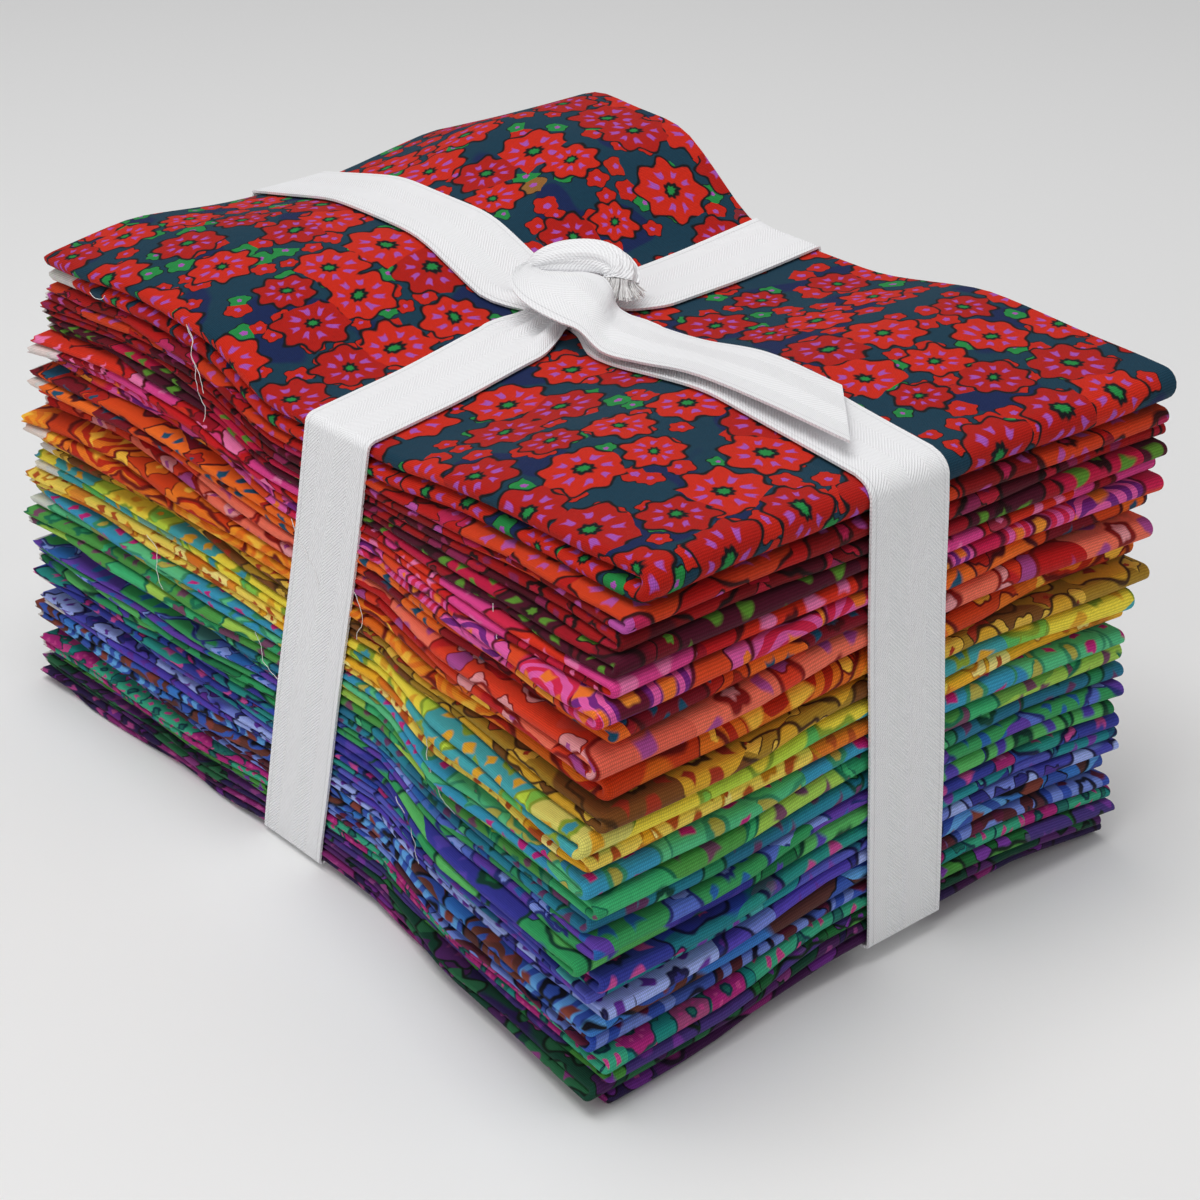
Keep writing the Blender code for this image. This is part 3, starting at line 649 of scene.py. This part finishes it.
def print_material(number, name):
    """Printed quilting cotton: two sizes of blossom on a ground, in a plain weave with a pale reverse."""
    *codes, cell, petals, depth, rings = PRINTS[name]
    deep = WARM_DEPTH if number >= WARM_FROM else COOL_DEPTH
    ground, patched, bloom, other, small, spot, outline = (dye(code, deep) for code in codes)
    leafy = dye(LEAF_INKS[name], deep) if name in LEAF_INKS else None
    looks = {"Roughness": 0.82, "Specular IOR Level": 0.15, "Sheen Weight": 0.05, "Sheen Roughness": 0.5}
    material, nodes, shader = new_material(f"cotton_{name}", looks)
    cloth = nodes.put("ShaderNodeUVMap", uv_map="cloth").outputs[0]
    moved = nodes.vector("ADD", cloth, (0.037 * number, 0.053 * number, 0.0))
    large = {"Cloth": moved, "Cell": cell * MM, "Petals": float(petals), "Depth": depth}
    large.update({"Size": 0.42 if name == "garden" else 0.50, "Scatter": 0.55, "Rings": float(rings)})
    big = nodes.group(BLOSSOMS, large)
    little = {"Cloth": nodes.vector("ADD", moved, (0.31, 0.17, 0)), "Cell": cell * 0.36 * MM}
    little.update({"Petals": 5.0, "Depth": 0.12, "Size": 0.42, "Scatter": 0.8})
    fill = nodes.group(BLOSSOMS, little)
    patch = nodes.noise(moved, 38.0, 1.0)[0]
    base = nodes.mix(nodes.below(patch, 0.44, 0.01), ground, patched)
    chosen = nodes.below(fill["Chance"], 0.66, 0.01)
    base = nodes.mix(nodes.math("MULTIPLY", fill["Outline"], chosen), base, outline)
    few = nodes.math("MULTIPLY", fill["Blossom"], chosen)
    leaf = nodes.mix(nodes.below(fill["Chance"], 0.2, 0.01), small, leafy or spot)
    base = nodes.mix(few, base, leaf)
    base = nodes.mix(nodes.math("MULTIPLY", few, fill["Eye"]), base, spot)
    petal = nodes.mix(nodes.below(big["Chance"], 0.45, 0.01), bloom, other)
    petal = nodes.mix(nodes.math("MULTIPLY", big["Rings"], float(rings > 0)), petal, small)
    colour = nodes.mix(big["Outline"], base, outline)
    colour = nodes.mix(big["Blossom"], colour, petal)
    colour = nodes.mix(big["Dots"], colour, spot)
    colour = nodes.mix(big["Eye"], colour, outline)
    colour = nodes.mix(big["Heart"], colour, leafy or small)
    weave = nodes.group(WEAVE, {"Cloth": cloth})
    reverse = nodes.put("ShaderNodeAttribute", attribute_name="reverse").outputs["Fac"]
    pale = nodes.mix(SHOW_THROUGH, ink(REVERSE_COLOUR), colour)
    run = nodes.put("ShaderNodeSeparateXYZ", {0: cloth}).outputs[1]
    plain = nodes.below(run, PLAIN_EDGES.get(number, 1) * MM, 0.0002)
    colour = nodes.mix(nodes.math("MAXIMUM", reverse, plain), colour, pale)
    # The weave's painted shade darkens the gaps between threads in the colour; its slub tone is real.
    colour = nodes.mix(1.0, colour, nodes.grey(weave["Shade"]), "MULTIPLY")
    nodes.feed(shader.inputs["Base Color"], colour)
    crumple = nodes.noise(cloth, 55.0, 3.0)[0]
    soft = nodes.put("ShaderNodeBump", {"Strength": 0.35, "Distance": 0.0012, "Height": crumple})
    bump = nodes.put("ShaderNodeBump", {"Strength": 0.5, "Distance": 0.00012, "Height": weave["Height"]})
    nodes.feed(bump.inputs["Normal"], soft.outputs[0])
    nodes.feed(shader.inputs["Normal"], bump.outputs[0])
    return material


def tape_material():
    """White herringbone twill."""
    looks = {"Roughness": 0.75, "Specular IOR Level": 0.3, "Sheen Weight": 0.1}
    material, nodes, shader = new_material("white_twill", looks)
    tape = nodes.put("ShaderNodeUVMap", uv_map="cloth").outputs[0]
    twill = nodes.group(TWILL, {"Tape": tape})
    # Painted shade from the twill darkens the white in the valleys of its ribs and in its grooves.
    colour = nodes.mix(1.0, nodes.grey(twill["Shade"]), ink("fafafc"), "MULTIPLY")
    nodes.feed(shader.inputs["Base Color"], colour)
    bump = nodes.put("ShaderNodeBump", {"Strength": 0.6, "Distance": 0.0002, "Height": twill["Height"]})
    nodes.feed(shader.inputs["Normal"], bump.outputs[0])
    return material


def along_lines(points):
    """The length of a grid's rows, measured along its middle column."""
    middle = points[:, points.shape[1] // 2]
    return np.concatenate([[0.0], np.cumsum(np.linalg.norm(np.diff(middle, axis=0), axis=-1))])


def tape_object(name, points, nodes_replaced, material):
    """A length of tape as a thin sheet, from a grid of points along and across it.

    Its flat length is that of its middle line.
    """
    length = along_lines(points)
    across = np.linspace(0, TAPE_WIDTH, points.shape[1])
    v, u = np.meshgrid(length, across, indexing="ij")
    tape = sheet_object(name, points, np.stack([u, v], -1), TAPE_THICK, material, 1.0)
    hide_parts(*nodes_replaced)
    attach(tape, "root")


ACROSS = np.linspace(-0.5, 0.5, 25)
PLEATS = 2.5
GATHERED_WIDTH = 0.5


def gathered(share):
    """Where the tape's threads go when it is gathered: across it as shares of its width, and how far up."""
    narrow = blend(1.0, GATHERED_WIDTH, share)
    arc = math.sqrt(max(0.0, (1 / narrow) ** 2 - 1))
    wave = TAPE_WIDTH * narrow / PLEATS
    rise = arc * wave / (2 * math.pi) * 0.9
    if share <= 0.01:
        return ACROSS * narrow, 0 * ACROSS
    return ACROSS * narrow, rise * (1 + np.sin(2 * math.pi * PLEATS * ACROSS))


def wrap(name, along_y, centres, knot, nose, step_over, replaced, material):
    """A loop of tape round the stack: from the knot over the near edge, underneath and back to the knot."""
    face = FACE_Y if along_y else FACE_X
    lines = LINES_Y if along_y else LINES_X
    near_top, near_foot, far_foot, far_top, middle = (centre * MM for centre in centres)
    reach, half = nose

    def top(run, side):
        return top_at(side, run) if along_y else top_at(run, side)

    def under(run, side):
        return level(0.0, side, run) if along_y else level(0.0, run, side)

    rows = []

    def row(run, height, side):
        both = (side, run) if along_y else (run, side)
        rows.append(np.stack([both[0] + 0 * ACROSS, both[1] + 0 * ACROSS, height + 0 * ACROSS], -1))

    def over(run, side_middle):
        away = abs(run - knot)
        share = float(ease(1 - (away - GATHERED[0]) / GATHERED[1]))
        crossing = float(ease(1 - (away - LIFTED[0]) / LIFTED[1])) * step_over
        across, rise = gathered(share)
        side = side_middle + across * TAPE_WIDTH
        row(run, top(run + 0 * side, side) + TAPE_CLEAR + crossing + rise, side)

    for run in np.linspace(knot, -face + reach, TOP_ROWS):
        over(run, blend(middle, near_top, (knot - run) / (knot + face)))
    flat = ACROSS * TAPE_WIDTH
    side = near_top + flat
    edge = top(0 * side - face + reach, side) + TAPE_CLEAR
    for step in range(1, 8):
        turned = math.pi / 2 * step / 7
        sink = (half + TAPE_CLEAR) * (1 - math.cos(turned))
        row(-face + reach - (reach + TAPE_CLEAR) * math.sin(turned), edge - sink, side)
    low = under(0 * side - face, near_foot + flat)
    high = edge - half - TAPE_CLEAR
    for share in np.linspace(0, 1, SIDE_ROWS)[1:-1]:
        side = blend(near_top, near_foot, share) + flat
        bow = 0.35 * MM * ripple(5, share * 0.1 + 0 * side, side)
        row(-face - TAPE_CLEAR + bow, blend(high, low, share), side)
    for turned in QUARTER_TURN:
        row(-face - TAPE_CLEAR * math.cos(turned), low - TAPE_CLEAR * math.sin(turned), near_foot + flat)
    for run in np.linspace(-face, face, FOOT_ROWS)[1:-1]:
        side = blend(near_foot, far_foot, (run + face) / (2 * face)) + flat
        crossed = lines[2] - 8 * MM < run < lines[3] + 8 * MM
        dip = (TAPE_LIFT - step_over) * crossed
        row(run, np.maximum(under(run + 0 * side, side) - TAPE_CLEAR - dip, TAPE_THICK / 2), side)
    low = under(0 * side + face, far_foot + flat)
    high = top(0 * side + face, far_top + flat)
    for turned in QUARTER_TURN:
        row(face + TAPE_CLEAR * math.sin(turned), low - TAPE_CLEAR * math.cos(turned), far_foot + flat)
    for share in np.linspace(0, 1, SIDE_ROWS)[1:-1]:
        side = blend(far_foot, far_top, share) + flat
        bow = 0.3 * MM * ripple(6, share * 0.1 + 0 * side, side)
        row(face + TAPE_CLEAR + bow, blend(low, high, share), side)
    for turned in QUARTER_TURN:
        row(face + TAPE_CLEAR * math.cos(turned), high + TAPE_CLEAR * math.sin(turned), far_top + flat)
    for run in np.linspace(face - 1 * MM, knot, TOP_ROWS):
        over(run, blend(middle, far_top, (run - knot) / (face - knot)))
    points = placed(np.array(rows))
    if not along_y:
        points = points[:, ::-1]
    tape_object(name, points, replaced, material)


def smooth_rows(rows, steps):
    """A smooth run of rows through the table's rows, with this many steps between each two."""
    rows = np.array(rows, float)
    before = np.concatenate([2 * rows[:1] - rows[1:2], rows[:-1]])
    after = np.concatenate([rows[1:], 2 * rows[-1:] - rows[-2:-1]])
    slope = (after - before) / 2
    fine = []
    for place in range(len(rows) - 1):
        for step in range(steps):
            t = step / steps
            start, end = rows[place], rows[place + 1]
            pull = (t**3 - 2 * t**2 + t) * slope[place] + (t**3 - t**2) * slope[place + 1]
            fine.append(start + (3 * t**2 - 2 * t**3) * (end - start) + pull)
    fine.append(rows[-1])
    return np.array(fine)


def knot_place(points):
    """Places given as right, forward and up of the knot's foot, in millimetres, before the stack leans."""
    right, forward, up = (points[..., part, None] * MM for part in (0, 1, 2))
    foot = np.array((KNOT_X, KNOT_Y, float(top_at(KNOT_X, KNOT_Y)) + TAPE_CLEAR + 2 * TAPE_LIFT))
    return foot + right * KNOT_RIGHT + forward * KNOT_FORWARD + up * np.array((0, 0, 1.0))


LOOP_ROWS = (
    # outer edge: right, forward, up; inner edge: right, forward, up; bulge
    (1.0, -10.5, 5.4, 1.6, -8.8, 4.4, 0.2),
    (-4.1, -9.5, 7.2, -3.0, -8.0, 5.8, 0.3),
    (-9.5, -7.8, 7.4, -7.2, -6.4, 6.0, 0.4),
    (-13.3, -3.8, 7.0, -7.4, -5.4, 5.4, 0.8),
    (-14.7, 1.8, 5.8, -4.2, -5.4, 4.9, 1.4),
    (-12.8, 8.0, 4.6, -0.6, -5.2, 5.2, 2.0),
    (-8.9, 13.0, 3.4, 3.2, -4.4, 5.4, 2.4),
    (-3.9, 17.6, 2.4, 6.4, -2.2, 5.0, 2.2),
    (0.5, 21.5, 1.8, 8.0, 2.4, 4.2, 1.4),
)
END_ROWS = (
    # left edge: x, y, lift; right edge: x, y, lift
    (-13.6, -28.0, 1.7, 5.2, -12.0, 2.4),
    (-13.8, -40.0, 1.5, 6.6, -23.0, 1.3),
    (-14.2, -57.0, 1.8, 6.8, -38.0, 0.9),
    (-14.8, -78.0, 2.6, 6.4, -58.0, 0.8),
    (-15.5, -103.0, 3.4, 6.0, -80.0, 1.0),
)
ROLL_ROWS = (
    # right, forward, up, half width, half height
    (-10.6, -6.2, 6.6, 0.4, 0.4),
    (-8.4, -7.2, 7.3, 2.4, 2.0),
    (-4.6, -8.2, 7.9, 3.7, 2.9),
    (0.0, -8.6, 8.1, 4.2, 3.2),
    (4.6, -8.1, 8.0, 4.2, 3.2),
    (8.0, -6.6, 7.4, 3.9, 3.0),
    (10.0, -4.6, 6.4, 3.5, 2.6),
    (10.4, -3.2, 5.3, 3.5, 2.2),
    (10.2, -2.4, 4.4, 3.7, 1.9),
)


def knot_loop(material):
    """The loop at the front of the knot and the long free end, as one length of tape."""
    loop = np.array(LOOP_ROWS)
    outer, inner = knot_place(loop[:, 0:3]), knot_place(loop[:, 3:6])
    table = np.array(END_ROWS)
    edges = []
    for x, y, lift in (table[:, 0:3].T, table[:, 3:6].T):
        x, y = x * MM, y * MM
        edges.append(np.stack([x, y, top_at(x, y) + TAPE_CLEAR + TAPE_THICK + lift * MM], -1))
    bulge = np.concatenate([loop[:, 6], np.array((0.8, 0.5, 0.4, 0.3, 0.2))]) * MM
    left = np.concatenate([outer, edges[0]])
    right = np.concatenate([inner, edges[1]])
    fine = smooth_rows(np.concatenate([left, right, bulge[:, None]], 1), 10)
    left, right, bulge = fine[:, None, 0:3], fine[:, None, 3:6], fine[:, None, 6:7]
    share = np.linspace(0, 1, 27)[None, :, None]
    points = blend(left, right, share)
    facing = np.cross(np.gradient(points, axis=0), np.gradient(points, axis=1))
    facing /= np.linalg.norm(facing, axis=-1, keepdims=True)
    points = points + facing * bulge * np.sin(math.pi * share) ** 0.8
    run = np.linspace(0, 1, len(points))[:, None, None]
    crease = 0.22 * MM * np.sin(share * 17 + 5 * run) * np.clip(1 - 1.9 * run, 0, 1)
    tape_object("knot_loop", placed(points + facing * crease), ["tape_end_long"], material)


def knot_roll(material):
    """The tape rolled across the back of the knot, whose short end turns down beside the loop."""
    fine = smooth_rows(ROLL_ROWS, 8)
    centre = fine[:, 0:3]
    along = np.gradient(centre, axis=0)
    along /= np.linalg.norm(along, axis=1, keepdims=True)
    side = np.cross(along, (0.0, 0.35, 1.0))
    side /= np.linalg.norm(side, axis=1, keepdims=True)
    rise = np.cross(side, along)
    turned = np.linspace(-0.35 * math.pi, 2.0 * math.pi, 72)[None, :, None]
    growth = 0.88 + 0.17 * (turned + 0.35 * math.pi) / (2.35 * math.pi)
    run = np.linspace(0, 1, len(fine))[:, None, None]
    pleats = 1 + 0.07 * np.sin(6 * turned + 3 * run) + 0.03 * np.sin(11 * turned - 7 * run)
    reach = growth * pleats
    wide = fine[:, None, 3:4] * reach * np.cos(turned)
    high = fine[:, None, 4:5] * reach * np.sin(turned)
    points = centre[:, None] + side[:, None] * wide + rise[:, None] * high
    points = placed(knot_place(points))
    tape_object("knot_roll", points, ["tape_knot", "tape_end_short"], material)


def thread_tree():
    """Thickens threads along their curves, with a little waviness, and gives them their material."""
    inputs = (
        ("Threads", "Geometry", None),
        ("Radius", "Float", 0.0001),
        ("Waviness", "Float", 0.0005),
        ("Step", "Float", 0.0008),
        ("Material", "Material", None),
    )
    outputs = (("Threads", "Geometry"),)
    nodes, given, result = new_group("loose_threads", inputs, outputs, "GeometryNodeTree")
    feeds = {"Curve": given["Threads"], "Length": given["Step"]}
    fine = nodes.put("GeometryNodeResampleCurve", feeds, mode="LENGTH")
    noise = nodes.put("ShaderNodeTexNoise", {"Scale": 260.0, "Detail": 1.0})
    shift = nodes.vector("SUBTRACT", noise.outputs["Color"], (0.5, 0.5, 0.5))
    feeds = {"Geometry": fine.outputs[0], "Offset": nodes.times(shift, given["Waviness"])}
    moved = nodes.put("GeometryNodeSetPosition", feeds)
    profile = nodes.put("GeometryNodeCurvePrimitiveCircle", {"Resolution": 5, "Radius": given["Radius"]})
    feeds = {"Curve": moved.outputs[0], "Profile Curve": profile.outputs[0], "Fill Caps": True}
    solid = nodes.put("GeometryNodeCurveToMesh", feeds)
    real = nodes.put("GeometryNodeRealizeInstances", {0: solid.outputs[0]})
    feeds = {"Geometry": real.outputs[0], "Material": given["Material"]}
    dressed = nodes.put("GeometryNodeSetMaterial", feeds)
    nodes.feed(result.inputs[0], dressed.outputs[0])
    return nodes.tree


THREADS = thread_tree()


def threads_object(name, paths, radius, waviness, material):
    """Loose threads along these paths, joined in one mesh."""
    curve = bpy.data.curves.new(name, "CURVE")
    curve.dimensions = "3D"
    for path in paths:
        spline = curve.splines.new("POLY")
        spline.points.add(len(path) - 1)
        spline.points.foreach_set("co", np.concatenate([path, np.ones((len(path), 1))], 1).ravel())
    source = bpy.data.objects.new(name + "_paths", curve)
    show(source)
    modifier = source.modifiers.new("threads", "NODES")
    modifier.node_group = THREADS
    values = {"Radius": radius, "Waviness": waviness, "Step": 0.8 * MM, "Material": material}
    for item in THREADS.interface.items_tree:
        if item.in_out == "INPUT" and item.name in values:
            modifier[item.identifier] = values[item.name]
    graph = bpy.context.evaluated_depsgraph_get()
    mesh = bpy.data.meshes.new_from_object(source.evaluated_get(graph), depsgraph=graph)
    mesh.name = name
    mesh.shade_smooth()
    bpy.data.objects.remove(source)
    bpy.data.curves.remove(curve)
    made = bpy.data.objects.new(name, mesh)
    show(made)
    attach(made, "root")


FRAYED_YARNS = 320


def frayed_end(material):
    """The cut yarns at the tip of the short end."""
    dice = np.random.default_rng(31)
    right, forward, up, wide, high = ROLL_ROWS[-1]
    paths = []
    for _ in range(FRAYED_YARNS):
        turned = dice.uniform(0, 2 * math.pi)
        reach = math.sqrt(dice.uniform(0.1, 1.0))
        aside = (wide * reach * math.cos(turned) * 0.9, high * reach * math.sin(turned), 0)
        start = np.array((right, forward, up + 0.9)) + aside
        length = dice.uniform(3.2, 5.0)
        splay = np.array((math.cos(turned) * wide, math.sin(turned) * high + 1.0, 0))
        splay = splay * dice.uniform(0.1, 0.9)
        share = np.linspace(0, 1, 6)[:, None]
        path = start + share * length * np.array((-0.1, 0.3, -0.85)) + share**2 * splay
        path[:, 2] = np.maximum(path[:, 2], 0.25)
        paths.append(placed(knot_place(path)))
    threads_object("frayed_tip", paths, 0.13 * MM, 0.7 * MM, material)


STRAY_THREADS = (
    # way along the left side and height of each point, in millimetres, from the thread's top end down
    ((46, 113.5), (43, 108), (41, 101), (38, 94)),
    ((45, 113.5), (42, 106), (38, 101)),
    ((88, 109), (84, 108.5), (81, 110)),
    ((4, 86), (-1, 80), (-6, 74)),
    ((18, 52), (14, 44), (8, 42)),
    ((-52, 58), (-58, 50), (-63, 44)),
    ((-18, 78), (-22, 71), (-20, 66)),
    ((-70, 96), (-76, 90), (-83, 88)),
    ((60, 60), (55, 55), (52, 49)),
    ((-40, 36), (-46, 31), (-48, 24)),
)


def stray_threads(material):
    """Single white yarns that hang down the left side."""
    middles = np.cumsum(THICKS) - np.array(THICKS) / 2
    paths = []
    for thread in STRAY_THREADS:
        fine = smooth_rows(thread, 6) * MM
        along, height = fine[:, 0], fine[:, 1]
        from_tape = np.clip((LINES_Y[2] - along) / (LINES_Y[2] + FACE_Y), 0, 1.2)
        spread = np.interp(height, middles, [row[4] * MM for row in FAT_QUARTERS])
        shift = np.interp(height, middles, [row[1] * MM for row in FAT_QUARTERS])
        shift = shift * (1 - hold(LINES_Y, along))
        out = -FACE_X + shift - 1.1 * MM - spread * from_tape**SPREAD_POWER
        paths.append(placed(np.stack([out, along, level(height, out, along)], -1)))
    threads_object("stray_yarns", paths, 0.08 * MM, 2.4 * MM, material)


def yarn_material():
    """Undyed cotton yarn."""
    material, nodes, shader = new_material("white_yarn", {"Roughness": 0.8})
    place = nodes.put("ShaderNodeTexCoord").outputs["Object"]
    grain = nodes.noise(place, 1500.0, 2.0)[0]
    nodes.feed(shader.inputs["Base Color"], nodes.mix(grain, ink("d8d4d2"), ink("fbfbfb")))
    bump = nodes.put("ShaderNodeBump", {"Strength": 0.4, "Distance": 0.0001, "Height": grain})
    nodes.feed(shader.inputs["Normal"], bump.outputs[0])
    return material


FLOOR_REACH = 15.0


def studio():
    """A plain pale floor and soft light from above and both sides."""
    mesh = bpy.data.meshes.new("floor")
    corners = [(x * FLOOR_REACH, y * FLOOR_REACH, 0) for x, y in ((-1, -1), (1, -1), (1, 1), (-1, 1))]
    mesh.from_pydata(corners, [], [(0, 1, 2, 3)])
    floor = bpy.data.objects.new("floor", mesh)
    looks = {"Base Color": (0.86, 0.86, 0.86, 1), "Roughness": 0.9}
    mesh.materials.append(new_material("pale_floor", looks)[0])
    show(floor)
    world = bpy.context.scene.world or bpy.data.worlds.new("studio")
    bpy.context.scene.world = world
    world.use_nodes = True
    world.node_tree.nodes["Background"].inputs[0].default_value = (1, 1, 1, 1)
    world.node_tree.nodes["Background"].inputs[1].default_value = 0.32
    lights = (
        # name, place, size, power
        ("overhead", (-0.25, 0.05, 1.5), 1.1, 14.0),
        ("fill", (0.9, -1.1, 0.8), 1.2, 2.0),
        ("left", (-1.3, -0.3, 0.9), 1.0, 3.4),
    )
    for name, place, size, power in lights:
        data = bpy.data.lights.new(name, "AREA")
        data.size = size
        data.energy = power
        light = bpy.data.objects.new(name, data)
        light.location = place
        light.rotation_euler = (Vector((0, 0, 0.06)) - Vector(place)).to_track_quat("-Z", "Y").to_euler()
        show(light)


CAMERA_PLACE = (-0.3336, -0.4067, 0.3140)
CAMERA_YAW = math.radians(49.21)
CAMERA_PITCH = math.radians(27.31)
CAMERA_LENS = 75.0


def camera():
    """The camera where the photo was taken from, as fitted to it."""
    bpy.context.scene.view_settings.view_transform = "Standard"
    data = bpy.data.cameras.new("camera")
    data.lens = CAMERA_LENS
    data.sensor_width = 36.0
    data.clip_start = 0.01
    eye = bpy.data.objects.new("camera", data)
    ahead = math.cos(CAMERA_PITCH)
    heading = Vector((math.cos(CAMERA_YAW) * ahead, math.sin(CAMERA_YAW) * ahead, -math.sin(CAMERA_PITCH)))
    eye.location = CAMERA_PLACE
    eye.rotation_euler = heading.to_track_quat("-Z", "Y").to_euler()
    show(eye)
    bpy.context.scene.camera = eye


camera()
studio()
bottom = 0.0
for number, row in enumerate(FAT_QUARTERS, start=1):
    top = bottom + row[0] * MM
    fat_quarter(number, row, bottom, top, print_material(number, row[-1]))
    bottom = top
TWILL_TAPE = tape_material()
half_top = (FAT_QUARTERS[-1][0] * MM - GAP) / 2
fold_bend = (NOSE * half_top, half_top)
ridge_bend = (1.2 * MM, 1.2 * MM)
wrap("tape_round_length", True, LONG_CENTRES, KNOT_Y, fold_bend, 0.0, ["tape_wrap_long"], TWILL_TAPE)
wrap("tape_round_width", False, SHORT_CENTRES, KNOT_X, ridge_bend, TAPE_LIFT, ["tape_wrap_short"], TWILL_TAPE)
knot_loop(TWILL_TAPE)
knot_roll(TWILL_TAPE)
WHITE_YARN = yarn_material()
frayed_end(WHITE_YARN)
stray_threads(WHITE_YARN)
